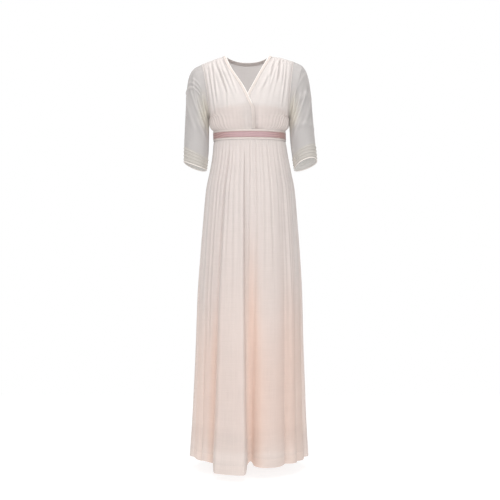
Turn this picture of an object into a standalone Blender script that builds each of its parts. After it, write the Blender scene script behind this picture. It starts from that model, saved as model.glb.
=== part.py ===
"""A long empire-line dress of sheer gathered cotton over a slip, with crossed fronts, elbow sleeves and a ribboned band.

Sizes are in metres and +Z is up. The origin is where the shoulders hold the dress up, midway between the two neck
ends of the shoulder seams. The wearer faces -Y, and +X is the wearer's left. A drop is a distance below the origin.
Each panel is worked out as rows of points on its outer face and then thickened inwards.
"""

import math

import bmesh
import bpy
import numpy as np


def table(names, *rows):
    """The columns of a table by name, with one row for each section or fold."""
    return dict(zip(names.split(), np.array(rows, float).T))


WALL = 0.0012
TRIM_WALL = 0.0010
SEAM_GAP = 0.0003
SHOULDER_SEAM_GAP = 0.0014
WAIST_ROUNDNESS = 0.82

NECK_POINT = np.array((0.077, 0.004, 0.0))
SHOULDER_TIP = np.array((0.164, 0.010, -0.028))
UNDERARM = np.array((0.141, 0.004, -0.222))
ARMHOLE_HOLLOW = 0.006
ARMHOLE_FRONT = 0.062
ARMHOLE_BACK = 0.070

WAIST_SEAM = 0.290
BAND_TOP = 0.2733
BAND_BOTTOM = 0.307
BAND_CLEARANCE = 0.0005
RIBBON_HEIGHT = 0.0205
HEM = 1.432

SIDE_SEAM = table(
    "drop x y",
    (0.222, 0.1410, 0.004),
    (0.240, 0.1408, 0.003),
    (0.256, 0.1385, 0.001),
    (0.273, 0.1270, 0.000),
    (0.307, 0.1270, 0.000),
)
# The bodice's form: its depth before and behind the side seams, and how soon it rounds off towards them.
BODICE_DEPTHS = table(
    "drop front back roundness",
    (0.000, 0.018, 0.050, 0.90),
    (0.014, 0.036, 0.062, 0.95),
    (0.030, 0.054, 0.074, 1.05),
    (0.070, 0.083, 0.091, 1.25),
    (0.110, 0.103, 0.101, 1.30),
    (0.150, 0.118, 0.105, 1.20),
    (0.190, 0.126, 0.105, 1.00),
    (0.225, 0.123, 0.101, 0.86),
    (0.250, 0.112, 0.095, 0.82),
    (0.273, 0.0985, 0.0865, 0.82),
    (0.307, 0.0985, 0.0865, 0.82),
)
# The crossed edge of each front, from the waist seam up to the neck point, with x positive on that front's own side.
OVER_EDGE = table(
    "height x drop",
    (0.00, -0.0205, 0.290),
    (0.06, -0.0205, 0.273),
    (0.12, -0.0205, 0.256),
    (0.30, -0.0190, 0.206),
    (0.36, -0.0135, 0.190),
    (0.44, -0.0052, 0.1718),
    (0.52, 0.0040, 0.1502),
    (0.64, 0.0208, 0.1162),
    (0.78, 0.0450, 0.0774),
    (0.90, 0.0655, 0.0379),
    (1.00, 0.0770, 0.000),
)
UNDER_EDGE = table(
    "height x drop",
    (0.00, -0.0205, 0.290),
    (0.06, -0.0205, 0.273),
    (0.12, -0.0205, 0.256),
    (0.30, -0.0205, 0.206),
    (0.36, -0.0185, 0.192),
    (0.44, -0.0120, 0.172),
    (0.52, -0.0040, 0.1502),
    (0.64, 0.0141, 0.1162),
    (0.78, 0.0350, 0.0774),
    (0.90, 0.0572, 0.0379),
    (1.00, 0.0770, 0.000),
)
SIDE_SEAM_SHARE = 0.2
UNDER_LAYER_DROP = 0.0040
PANEL_ROWS = (0.0, 0.06, 0.12, 0.2, 0.26, 0.36, 0.48, 0.6, 0.7, 0.79, 0.88, 0.95, 1.0)
PANEL_COLUMNS = 26
COLUMNS_PER_GATHER = 3
BINDING_WIDTH = 0.011
SHOULDER_GATHERS = {"first": 2, "count": 6, "height": 0.0026}
BUST_GATHERS = {"first": 5, "count": 7, "height": 0.0024}

BACK_NECK_DROP = 0.014
BACK_NECK_SHARE = 0.47
BACK_NECK_COLUMNS = 5
BACK_SHOULDER_COLUMNS = 8
BACK_ROWS = (0.0, 0.06, 0.12, 0.2, 0.26, 0.36, 0.5, 0.64, 0.77, 0.88, 0.955, 1.0)

# Each section of the sleeve: its outer and inner ends seen from the front, half its depth, and its middle.
SLEEVE_SECTIONS = table(
    "outer_x outer_drop inner_x inner_drop half_depth middle_y",
    (0.1925, 0.043, 0.1422, 0.228, 0.064, 0.006),
    (0.2095, 0.068, 0.1425, 0.236, 0.061, 0.006),
    (0.2185, 0.105, 0.1430, 0.248, 0.058, 0.004),
    (0.2230, 0.150, 0.1435, 0.266, 0.055, 0.002),
    (0.2265, 0.205, 0.1445, 0.295, 0.052, 0.000),
    (0.2300, 0.260, 0.1460, 0.325, 0.049, -0.003),
    (0.2340, 0.320, 0.1500, 0.365, 0.047, -0.006),
    (0.2370, 0.376, 0.1555, 0.405, 0.046, -0.008),
)
SLEEVE_ROWS = (0.0, 0.6, 1.2, 2.0, 3.0, 4.0, 4.8, 5.6, 6.4, 7.2, 8.0)
SLEEVE_COLUMNS = 26
CUFF_FRONT_RISE = {"left": 0.021, "right": -0.002}
CUFF_BACK_FALL = 0.010
# Soft creases of a sleeve: where each starts and ends, as an angle from the top and a share of the length.
SLEEVE_CREASES = table(
    "start_angle start_length end_angle end_length height",
    (25.0, 0.10, 95.0, 0.34, 0.0030),
    (60.0, 0.06, 140.0, 0.24, 0.0028),
    (20.0, 0.44, 80.0, 0.62, 0.0022),
    (100.0, 0.50, 150.0, 0.66, 0.0024),
    (-40.0, 0.14, -110.0, 0.40, 0.0028),
    (-50.0, 0.55, -120.0, 0.70, 0.0022),
)
CREASE_WIDTH = 0.010
PIPING_HEIGHT = 0.0036
PIPING_THICKNESS = 0.0026
PIPING_SIDES = 6

# The skirt between its folds: half width, and depth before and behind the side seams.
SKIRT_SECTIONS = table(
    "drop half_width front back roundness",
    (0.2900, 0.127, 0.0985, 0.0865, 0.82),
    (0.3075, 0.127, 0.0985, 0.0865, 0.82),
    (0.342, 0.129, 0.104, 0.092, 0.86),
    (0.407, 0.139, 0.113, 0.106, 0.93),
    (0.478, 0.152, 0.121, 0.122, 1.0),
    (0.586, 0.160, 0.129, 0.138, 1.0),
    (0.700, 0.167, 0.133, 0.148, 1.0),
    (0.871, 0.174, 0.136, 0.160, 1.0),
    (1.014, 0.175, 0.139, 0.170, 1.0),
    (1.157, 0.177, 0.141, 0.178, 1.0),
    (1.300, 0.180, 0.143, 0.186, 1.0),
    (1.432, 0.185, 0.145, 0.193, 1.0),
)
SKIRT_ROWS = (0.3075, 0.326, 0.366, 0.45, 0.58, 0.78, 1.02, 1.25, HEM)
SKIRT_GATHERS = 40
SKIRT_GATHER_HEIGHTS = table(
    "drop height",
    (0.3075, 0.0),
    (0.326, 0.0022),
    (0.366, 0.0032),
    (0.45, 0.0030),
    (0.78, 0.0),
)
# The large folds, from the right side seam round the front: the angle where each starts at the waist and at the hem,
# how far it stands out at the hem, how square it is, how much lower its hem hangs, and whether it stands straight
# forwards (1) or away from the body's axis (0).
FRONT_FOLDS = table(
    "waist hem height squareness fall forward",
    (-90.0, -90.0, 0.011, 2.0, -0.004, 0.0),
    (-72.0, -78.0, 0.013, 2.0, -0.010, 0.0),
    (-63.0, -66.0, 0.010, 2.0, -0.012, 0.0),
    (-54.0, -53.0, 0.008, 2.0, -0.012, 0.0),
    (-45.0, -40.5, 0.072, 8.0, 0.018, 1.0),
    (-9.0, -2.4, -0.014, 2.0, -0.012, 1.0),
    (9.0, 4.5, 0.026, 3.0, 0.004, 0.6),
    (45.0, 41.0, 0.015, 2.0, 0.000, 0.0),
    (66.0, 61.0, 0.009, 2.0, 0.000, 0.0),
)
BACK_FOLDS = 10
BACK_FOLD_HEIGHT = 0.026
FOLDS_START = 0.311

SLIP_CLEARANCE = 0.0056
SLIP_BODICE_CLEARANCE = 0.0068
SLIP_TOP_SIDE = 0.220
SLIP_TOP_RISE = 0.0260
SLIP_WALL = 0.0010
SLIP_COLUMNS = 32
SLIP_SECTIONS = table(
    "drop half_width front back roundness",
    (0.3075, 0.1214, 0.0929, 0.0809, 0.82),
    (0.366, 0.1260, 0.0970, 0.0890, 0.88),
    (0.450, 0.1390, 0.1020, 0.1040, 0.98),
    (0.600, 0.1510, 0.1040, 0.1240, 1.0),
    (0.870, 0.1600, 0.1010, 0.1420, 1.0),
    (1.150, 0.1630, 0.1000, 0.1560, 1.0),
    (1.400, 0.1650, 0.1000, 0.1640, 1.0),
)

# The dress hangs a little towards the wearer's left, and its left shoulder sits higher than its right.
SWAY = table(
    "drop shift",
    (0.0, 0.0),
    (0.10, 0.0034),
    (0.28, 0.0070),
    (0.40, 0.0106),
    (1.00, 0.0085),
    (1.50, 0.0070),
)
SHOULDER_LIFT = table(
    "x rise",
    (-0.250, -0.003),
    (-0.200, -0.003),
    (-0.077, 0.000),
    (0.077, 0.000),
    (0.130, 0.006),
    (0.200, 0.008),
    (0.250, 0.008),
)


def smooth_curve(keys, values, at):
    """A smooth curve through a table's values that never overshoots them."""
    at = np.clip(np.asarray(at, float), keys[0], keys[-1])
    steps = np.diff(keys)
    slopes = np.diff(values) / steps
    before, after = slopes[:-1], slopes[1:]
    agree = before * after > 0
    total = np.where(agree, before + after, 1.0)
    inner = np.where(agree, 2 * before * after / total, 0.0)
    tangents = np.concatenate([[slopes[0]], inner, [slopes[-1]]])
    cell = np.clip(np.searchsorted(keys, at, side="right") - 1, 0, len(steps) - 1)
    step = steps[cell]
    t = (at - keys[cell]) / step
    start = (1 + 2 * t) * (1 - t) ** 2 * values[cell] + t * (1 - t) ** 2 * step * tangents[cell]
    end = t * t * (3 - 2 * t) * values[cell + 1] + t * t * (t - 1) * step * tangents[cell + 1]
    return start + end


def fade(value, start, end):
    """0 at start rising smoothly to 1 at end."""
    t = np.clip((np.asarray(value, float) - start) / (end - start), 0, 1)
    return t * t * (3 - 2 * t)


def gather_wave(column, first, count):
    """Narrow valleys between rounded crests, three columns to a gather."""
    place = np.asarray(column) - first
    inside = (place > 0) & (place < count * COLUMNS_PER_GATHER)
    return np.where(inside & (place % COLUMNS_PER_GATHER != 0), 1.0, 0.0)


def normals_of(grid, ring=False):
    """Unit normals of a grid of points, pointing one way all over."""
    if ring:
        across = np.roll(grid, -1, axis=1) - np.roll(grid, 1, axis=1)
    else:
        across = np.gradient(grid, axis=1)
    along = np.gradient(grid, axis=0)
    normals = np.cross(across, along)
    return normals / np.linalg.norm(normals, axis=2, keepdims=True)


def outward(grid, ring=False):
    """Unit normals that point away from the grid's own axis, which a ring has inside it and a panel at x = y = 0."""
    normals = normals_of(grid, ring)
    axis = grid.mean(axis=1, keepdims=True) if ring else grid * (0, 0, 1)
    side = np.sum(normals * (grid - axis))
    return normals if side > 0 else -normals


def as_worn(grid):
    """The points where they lie as the dress is worn: a little to the left, with one shoulder higher."""
    moved = np.array(grid, float)
    moved[..., 0] += smooth_curve(SWAY["drop"], SWAY["shift"], -moved[..., 2])
    rise = smooth_curve(SHOULDER_LIFT["x"], SHOULDER_LIFT["rise"], moved[..., 0])
    moved[..., 2] += rise * (1 - fade(-moved[..., 2], 0.04, 0.14))
    return moved


def mirrored(grid):
    """The same points on the other side of the body."""
    return np.asarray(grid) * (-1, 1, 1)


def fabric(name, colour, roughness):
    """One cloth's material."""
    material = bpy.data.materials.new(name)
    material.use_nodes = True
    shader = material.node_tree.nodes["Principled BSDF"]
    shader.inputs["Base Color"].default_value = (*colour, 1.0)
    shader.inputs["Roughness"].default_value = roughness
    shader.inputs["Metallic"].default_value = 0.0
    material.diffuse_color = (*colour, 1.0)
    return material


def mesh_object(name, grid, material, ring, closed_section=False):
    """An object whose faces join the grid's points and look outwards."""
    rows, columns = grid.shape[:2]
    mesh = bpy.data.meshes.new(name)
    shape = bmesh.new()
    points = [[shape.verts.new(point) for point in row] for row in grid]
    for i in range(rows if closed_section else rows - 1):
        for j in range(columns if ring else columns - 1):
            here, above = points[i], points[(i + 1) % rows]
            after = (j + 1) % columns
            shape.faces.new((here[j], here[after], above[after], above[j]))
    shape.normal_update()
    if closed_section:
        inside_out = shape.calc_volume(signed=True) < 0
    else:
        centres = grid.mean(axis=1) if ring else None
        side = 0.0
        for face in shape.faces:
            middle = np.array(face.calc_center_median())
            axis = centres[np.argmin(np.abs(centres[:, 2] - middle[2]))] if ring else middle * (0, 0, 1)
            side += face.calc_area() * float(np.dot(np.array(face.normal), middle - axis))
        inside_out = side < 0
    if inside_out:
        bmesh.ops.reverse_faces(shape, faces=shape.faces)
    shape.to_mesh(mesh)
    shape.free()
    mesh.materials.append(material)
    mesh.shade_smooth()
    mesh.set_sharp_from_angle(angle=math.radians(60))
    piece = bpy.data.objects.new(name, mesh)
    bpy.context.collection.objects.link(piece)
    return piece


def cloth(name, grid, material, ring=False, wall=WALL):
    """A sheet of cloth: its outer face through the grid, thickened inwards."""
    piece = mesh_object(name, as_worn(grid), material, ring)
    solidify = piece.modifiers.new("wall", "SOLIDIFY")
    solidify.thickness = wall
    solidify.offset = -1.0
    solidify.use_rim = True
    return piece


def armhole_angle(drop):
    """The angle round the armhole from the shoulder tip, for a drop between the tip and the underarm."""
    middle = (SHOULDER_TIP[2] + UNDERARM[2]) / 2
    half = (SHOULDER_TIP[2] - UNDERARM[2]) / 2
    return np.arccos(np.clip((-np.asarray(drop) - middle) / half, -1, 1))


def armhole_point(angle):
    """A point of the armhole seam: 0 at the shoulder tip, pi at the underarm, positive in front."""
    angle = np.asarray(angle, float)
    middle = (SHOULDER_TIP + UNDERARM) / 2
    half = (SHOULDER_TIP - UNDERARM) / 2
    point = middle + half * np.cos(angle)[..., None]
    point[..., 0] -= ARMHOLE_HOLLOW * np.abs(np.sin(angle))
    reach = np.where(np.sin(angle) > 0, ARMHOLE_FRONT, ARMHOLE_BACK)
    point[..., 1] -= reach * np.sin(angle)
    return point


def form_edge(drop, back):
    """Where the body's form ends sideways at a drop: the shoulder seam, the armhole, then the side seam."""
    drop = np.asarray(drop, float)
    share = np.clip(drop / -SHOULDER_TIP[2], 0, 1)
    shoulder = NECK_POINT + (SHOULDER_TIP - NECK_POINT) * share[..., None]
    angle = armhole_angle(drop)
    armhole = armhole_point(-angle if back else angle)
    side_x = smooth_curve(SIDE_SEAM["drop"], SIDE_SEAM["x"], drop)
    side_y = smooth_curve(SIDE_SEAM["drop"], SIDE_SEAM["y"], drop)
    high, low = drop < -SHOULDER_TIP[2], drop > -UNDERARM[2]
    x = np.where(high, shoulder[..., 0], np.where(low, side_x, armhole[..., 0]))
    y = np.where(high, shoulder[..., 1], np.where(low, side_y, armhole[..., 1]))
    return x, y


def form_depth(x, drop, back):
    """The y of the bodice's form, seen from the front at x and drop."""
    edge_x, edge_y = form_edge(drop, back)
    depth = smooth_curve(BODICE_DEPTHS["drop"], BODICE_DEPTHS["back" if back else "front"], drop)
    depth = depth if back else -depth
    roundness = smooth_curve(BODICE_DEPTHS["drop"], BODICE_DEPTHS["roundness"], drop)
    share = np.clip(1 - (x / edge_x) ** 2, 0, 1) ** (roundness / 2)
    return edge_y + (depth - edge_y) * share


def outer_edge(height):
    """The side seam and the armhole as one edge, seen from the front, for heights from 0 to 1."""
    height = np.asarray(height, float)
    crossed_drop = smooth_curve(OVER_EDGE["height"], OVER_EDGE["drop"], height)
    low = np.clip(height / SIDE_SEAM_SHARE, 0, 1)
    lift = fade(height, 0.06, SIDE_SEAM_SHARE)
    seam_drop = crossed_drop * (1 - lift) + -UNDERARM[2] * lift
    seam_drop = np.where(low < 1, seam_drop, -UNDERARM[2])
    seam_x, _ = form_edge(seam_drop, False)
    angle = math.pi * (1 - np.clip((height - SIDE_SEAM_SHARE) / (1 - SIDE_SEAM_SHARE), 0, 1))
    armhole = armhole_point(angle)
    on_seam = height <= SIDE_SEAM_SHARE
    x = np.where(on_seam, seam_x, armhole[..., 0])
    drop = np.where(on_seam, seam_drop, -armhole[..., 2])
    return x, drop


def front_grid(edge):
    """A front on the left: rows from the waist seam up to the shoulder seam, columns from its crossed edge outwards."""
    height = np.array(PANEL_ROWS)[:, None]
    inner_x = smooth_curve(edge["height"], edge["x"], height)
    inner_drop = smooth_curve(edge["height"], edge["drop"], height)
    outer_x, outer_drop = outer_edge(height)
    length = np.hypot(outer_x - inner_x, outer_drop - inner_drop)
    band = BINDING_WIDTH / length
    spread = np.sin(np.linspace(0, math.pi / 2, PANEL_COLUMNS + 1))[None, :]
    share = np.concatenate([0 * band, band / 2, band + (1 - band) * spread], axis=1)
    x = inner_x + (outer_x - inner_x) * share
    drop = inner_drop + (outer_drop - inner_drop) * share
    grid = np.stack([x, form_depth(x, drop, False), -drop], axis=2)
    grid[-1, :, 1] = form_edge(drop[-1], False)[1]
    return grid


def front_gathers(grid):
    """How far the gathers at the shoulder seam and above the waistband lift each point of a front."""
    height = np.array(PANEL_ROWS)[:, None]
    column = np.arange(grid.shape[1] - 2)[None, :]
    column = np.concatenate([[[0, 0]], column], axis=1)
    shoulder = gather_wave(column, SHOULDER_GATHERS["first"], SHOULDER_GATHERS["count"])
    shoulder = shoulder * SHOULDER_GATHERS["height"] * fade(height, 0.35, 0.75) * (1 - 0.6 * fade(height, 0.9, 1.0))
    bust = gather_wave(column, BUST_GATHERS["first"], BUST_GATHERS["count"])
    bust = bust * BUST_GATHERS["height"] * fade(height, 0.06, 0.12) * (1 - fade(height, 0.12, 0.45))
    by_underarm = fade(column, 0.6 * PANEL_COLUMNS, PANEL_COLUMNS) * fade(height, 0.12, SIDE_SEAM_SHARE)
    return shoulder + bust * (1 - by_underarm)


def front_panels():
    """The two fronts and their neck bindings. The right front lies over the left one."""
    panels = []
    for edge, lowered in ((OVER_EDGE, 0.0), (UNDER_EDGE, UNDER_LAYER_DROP)):
        grid = front_grid(edge)
        panel = grid + outward(grid) * front_gathers(grid)[..., None]
        panel[:, -1] = grid[:, -1]
        near_middle = 1 - fade(grid[..., 0], 0.030, 0.060)
        below_crossing = fade(-grid[..., 2], 0.108, 0.138)
        panel[..., 1] += lowered * near_middle * below_crossing
        panel[:, -1, 1] -= SEAM_GAP / 2 * (np.array(PANEL_ROWS) <= SIDE_SEAM_SHARE)
        panel[-1, :, 1] -= SHOULDER_SEAM_GAP / 2
        panel[0, :, 2] += SEAM_GAP / 2
        panel[:, -1, 0] -= SEAM_GAP * (np.array(PANEL_ROWS) >= SIDE_SEAM_SHARE)
        panels.append(panel)
    return mirrored(panels[0]), panels[1]


def neck_strip(panel):
    """The binding along a front's crossed edge above the band, made from the panel's own points and moved out."""
    normals = outward(panel)
    strip = (panel + normals * (SEAM_GAP + TRIM_WALL))[1:, :3]
    strip[0, :, 2] += SEAM_GAP
    return strip


def back_grid():
    """The back: rows from the waist seam up to the neck and shoulder seams, columns from the right side to the left."""
    height = np.array(BACK_ROWS)[:, None]
    neck_share = np.linspace(0, BACK_NECK_SHARE, BACK_NECK_COLUMNS + 1)[:-1]
    shoulder_length = np.linalg.norm(SHOULDER_TIP - NECK_POINT)
    band_share = BINDING_WIDTH / shoulder_length
    spread = np.sin(np.linspace(0, math.pi / 2, BACK_SHOULDER_COLUMNS))
    shoulder_share = np.concatenate([[0], band_share + (1 - band_share) * spread])
    share = np.concatenate([neck_share, BACK_NECK_SHARE + (1 - BACK_NECK_SHARE) * shoulder_share])[None, :]
    outer_x, outer_drop = outer_edge(height)
    middle_drop = WAIST_SEAM + (BACK_NECK_DROP - WAIST_SEAM) * height
    middle_drop[1] = outer_drop[1]
    x = outer_x * share
    drop = middle_drop + (outer_drop - middle_drop) * share
    neck = np.clip(share / BACK_NECK_SHARE, 0, 1)
    seam = np.clip((share - BACK_NECK_SHARE) / (1 - BACK_NECK_SHARE), 0, 1)
    top_x = NECK_POINT[0] * neck + (SHOULDER_TIP[0] - NECK_POINT[0]) * seam
    top_drop = BACK_NECK_DROP * (1 - neck**2.2) - SHOULDER_TIP[2] * seam
    pull = height**5
    x = x + (top_x - x[-1:]) * pull
    drop = drop + (top_drop - drop[-1:]) * pull
    half = np.stack([x, form_depth(x, drop, True), -drop], axis=2)
    return np.concatenate([mirrored(half[:, :0:-1]), half], axis=1)


def back_panel():
    """The back with its small gathers, and its edges drawn in from the seams."""
    grid = back_grid()
    height = np.array(BACK_ROWS)[:, None]
    column = np.arange(grid.shape[1])[None, :]
    wave = gather_wave(column, 0, 8) * 0.0016 * fade(height, 0.06, 0.14) * (1 - fade(height, 0.14, 0.5))
    panel = grid + outward(grid) * wave[..., None]
    panel[:, (0, -1)] = grid[:, (0, -1)]
    on_side = np.array(BACK_ROWS) <= SIDE_SEAM_SHARE
    for edge, sign in ((0, -1), (-1, 1)):
        panel[:, edge, 1] += SEAM_GAP / 2 * on_side
        panel[:, edge, 0] -= sign * SEAM_GAP * (np.array(BACK_ROWS) >= SIDE_SEAM_SHARE)
    on_shoulder = np.abs(panel[-1, :, 0]) > NECK_POINT[0] - 0.001
    panel[-1, :, 1] += SHOULDER_SEAM_GAP / 2 * on_shoulder
    panel[0, :, 2] += SEAM_GAP / 2
    return panel


def back_neck_strip(panel):
    """The binding along the back neck to the shoulder seams, made from the back's top two rows and moved out."""
    normals = outward(panel)
    raised = panel + normals * (SEAM_GAP + TRIM_WALL)
    middle, reach = panel.shape[1] // 2, BACK_NECK_COLUMNS + 1
    return raised[-2:, middle - reach : middle + reach + 1]


def sleeve_grid(front_rise):
    """The left sleeve: rings from the armhole down to the hem, each starting at the top and going round the front."""
    angle = np.linspace(0, 2 * math.pi, SLEEVE_COLUMNS, endpoint=False)
    armhole = armhole_point(np.where(angle > math.pi, angle - 2 * math.pi, angle))
    armhole[:, 0] += SEAM_GAP + 0.0010 * np.clip(np.cos(angle), 0, 1)
    keys = np.arange(len(SLEEVE_SECTIONS["outer_x"]) + 1, dtype=float)
    ends = {
        "outer_x": SHOULDER_TIP[0],
        "outer_drop": -SHOULDER_TIP[2],
        "inner_x": UNDERARM[0] + SEAM_GAP,
        "inner_drop": -UNDERARM[2],
        "half_depth": (ARMHOLE_FRONT + ARMHOLE_BACK) / 2,
        "middle_y": 0.010,
    }
    rings = []
    for row in SLEEVE_ROWS:
        value = {
            name: smooth_curve(keys, np.concatenate([[ends[name]], column]), row)
            for name, column in SLEEVE_SECTIONS.items()
        }
        middle_x = (value["outer_x"] + value["inner_x"]) / 2
        middle_drop = (value["outer_drop"] + value["inner_drop"]) / 2
        x = middle_x + (value["outer_x"] - value["inner_x"]) / 2 * np.cos(angle)
        drop = middle_drop + (value["outer_drop"] - value["inner_drop"]) / 2 * np.cos(angle)
        y = value["middle_y"] - value["half_depth"] * np.sin(angle)
        tilt = fade(row, 3.0, 8.0)
        drop = drop - tilt * np.where(np.sin(angle) > 0, front_rise, CUFF_BACK_FALL) * np.sin(angle)
        rings.append(np.stack([x, y, -drop], axis=1))
    grid = np.array(rings)
    grid[0] = armhole
    return grid, angle


def sleeve_creases(grid, angle):
    """How far the soft creases and the gathers of the sleeve's head lift each point."""
    length = np.array(SLEEVE_ROWS)[:, None] / SLEEVE_ROWS[-1]
    around = np.degrees(np.where(angle > math.pi, angle - 2 * math.pi, angle))[None, :]
    girth, reach = 0.060 * math.pi / 180, 0.34
    lift = np.zeros(grid.shape[:2])
    for i in range(len(SLEEVE_CREASES["height"])):
        crease = {name: column[i] for name, column in SLEEVE_CREASES.items()}
        start = np.array((crease["start_angle"] * girth, crease["start_length"] * reach))
        end = np.array((crease["end_angle"] * girth, crease["end_length"] * reach))
        place = np.stack(np.broadcast_arrays(around * girth, length * reach), axis=2)
        line = end - start
        share = np.clip(((place - start) @ line) / (line @ line), 0, 1)
        distance = np.linalg.norm(place - start - share[..., None] * line, axis=2)
        lift += crease["height"] * np.exp(-((distance / CREASE_WIDTH) ** 2))
    return lift * fade(length, 0.03, 0.14) * (1 - fade(length, 0.80, 0.92))


def sleeve_panel(side):
    """A sleeve with its creases. Its inner line stays where it is, just clear of the bodice."""
    grid, angle = sleeve_grid(CUFF_FRONT_RISE[side])
    clear_of_body = 1 - fade(-np.cos(angle), 0.55, 0.85)[None, :]
    lift = sleeve_creases(grid, angle) * clear_of_body
    sleeve = grid + outward(grid, ring=True) * lift[..., None]
    return sleeve if side == "left" else mirrored(sleeve)


def cuff_piping(sleeve):
    """A rolled edge of oval section that runs round just under the sleeve's hem."""
    hem, before = sleeve[-1], sleeve[-2]
    down = (hem - before).mean(axis=0)
    down /= np.linalg.norm(down)
    out = outward(sleeve, ring=True)[-1]
    middle = hem - out * WALL / 2 + down * (SEAM_GAP + PIPING_HEIGHT / 2)
    sides = []
    for i in range(PIPING_SIDES):
        turn = 2 * math.pi * i / PIPING_SIDES
        offset = out * PIPING_THICKNESS / 2 * math.sin(turn) + down * PIPING_HEIGHT / 2 * math.cos(turn)
        sides.append(middle + offset)
    return np.array(sides)


def ring_at(drop, clearance, columns):
    """A ring round the waist, a clearance outside the form."""
    angle = np.radians(np.arange(columns) * 360 / columns - 90)
    half_width = smooth_curve(SIDE_SEAM["drop"], SIDE_SEAM["x"], drop) + clearance
    front = smooth_curve(BODICE_DEPTHS["drop"], BODICE_DEPTHS["front"], drop) + clearance
    back = smooth_curve(BODICE_DEPTHS["drop"], BODICE_DEPTHS["back"], drop) + clearance
    depth = np.where(np.cos(angle) > 0, -front, back) * np.abs(np.cos(angle)) ** WAIST_ROUNDNESS
    return np.stack([half_width * np.sin(angle), depth, np.full(columns, -drop)], axis=1)


def waistband_and_ribbon(cream, pink):
    """The band over the waist seam, and the ribbon along its middle."""
    columns = 72
    band_out = BAND_CLEARANCE + WALL
    band = [ring_at(drop, band_out, columns) for drop in (BAND_TOP, BAND_BOTTOM)]
    cloth("waistband", np.array(band), cream, ring=True)
    middle = (BAND_TOP + BAND_BOTTOM) / 2
    ribbon_out = band_out + SEAM_GAP + TRIM_WALL
    drops = (middle - RIBBON_HEIGHT / 2, middle + RIBBON_HEIGHT / 2)
    ribbon = [ring_at(drop, ribbon_out, columns) for drop in drops]
    cloth("waist_ribbon", np.array(ribbon), pink, ring=True, wall=TRIM_WALL)


def fold_at(waist_angle):
    """For each waist angle its hem angle, the shape of the large fold it lies in, and its place within that fold."""
    waist = np.append(FRONT_FOLDS["waist"], 90.0)
    hem = np.append(FRONT_FOLDS["hem"], 90.0)
    results = []
    for angle in waist_angle:
        if angle <= 90.0:
            i = int(np.clip(np.searchsorted(waist, angle, side="right") - 1, 0, len(FRONT_FOLDS["waist"]) - 1))
            share = (angle - waist[i]) / (waist[i + 1] - waist[i])
            hem_angle = hem[i] + share * (hem[i + 1] - hem[i])
            shape = [FRONT_FOLDS[name][i] for name in ("height", "squareness", "fall", "forward")]
            row = (hem_angle, *shape, share)
        else:
            width = 180.0 / BACK_FOLDS
            i = int((angle - 90.0) // width)
            share = (angle - 90.0) / width - i
            row = (angle, BACK_FOLD_HEIGHT + 0.008 * math.sin(2.4 * i), 2.5, 0.0, 0.0, share)
        results.append(row)
    return np.array(results).T


def section_at(sections, drop, angle):
    """A ring of the skirt or the slip at one drop, for angles from the front towards the left side."""
    half_width, front, back, power = (
        smooth_curve(sections["drop"], sections[name], drop) for name in ("half_width", "front", "back", "roundness")
    )
    depth = np.where(np.cos(angle) > 0, -front, back) * np.abs(np.cos(angle)) ** power
    return np.stack([half_width * np.sin(angle), depth, -drop * np.ones_like(angle)], axis=-1)


def skirt_ring():
    """The whole skirt: rows from the waist seam down to the hem, columns from the right side round the front."""
    columns = SKIRT_GATHERS * COLUMNS_PER_GATHER
    waist_angle = np.arange(columns) * 360.0 / columns - 90.0
    hem_angle, height, squareness, fall, forward, share = fold_at(waist_angle)
    profile = height * (1 - np.abs(2 * share - 1) ** squareness)
    dip = fall * (1 - np.abs(2 * share - 1) ** squareness)
    wave = np.where(np.arange(columns) % COLUMNS_PER_GATHER != 0, 1.0, 0.0)
    rows = []
    for drop in (WAIST_SEAM + SEAM_GAP / 2,) + SKIRT_ROWS:
        grown = max(0.0, (drop - FOLDS_START) / (HEM - FOLDS_START))
        angle = np.radians(waist_angle + (hem_angle - waist_angle) * grown)
        ring = section_at(SKIRT_SECTIONS, drop + dip * grown**3, angle)
        ring[:, 2] = -(drop + dip * grown**3)
        nearby = section_at(SKIRT_SECTIONS, drop, angle + 0.01) - section_at(SKIRT_SECTIONS, drop, angle - 0.01)
        out = np.stack([-nearby[:, 1], nearby[:, 0], 0 * angle], axis=1)
        out /= np.linalg.norm(out, axis=1, keepdims=True)
        out *= np.sign(np.sum(out * ring * (1, 1, 0), axis=1, keepdims=True))
        out += forward[:, None] * (np.array((0.0, -1.0, 0.0)) - out)
        gather = wave * smooth_curve(SKIRT_GATHER_HEIGHTS["drop"], SKIRT_GATHER_HEIGHTS["height"], drop)
        rows.append(ring + out * (profile * grown + gather)[:, None])
    return np.array(rows)


def skirt_panels(cotton):
    """The front and back of the skirt, cut from one gathered ring at the side seams."""
    ring = skirt_ring()
    half = ring.shape[1] // 2
    front = np.array(ring[:, : half + 1])
    back = np.concatenate([ring[:, half:], ring[:, :1]], axis=1)
    for panel, sign in ((front, -1), (back, 1)):
        panel[:, (0, -1), 1] += sign * SEAM_GAP / 2
    cloth("skirt_front", front, cotton)
    cloth("skirt_back", back, cotton)


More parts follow.
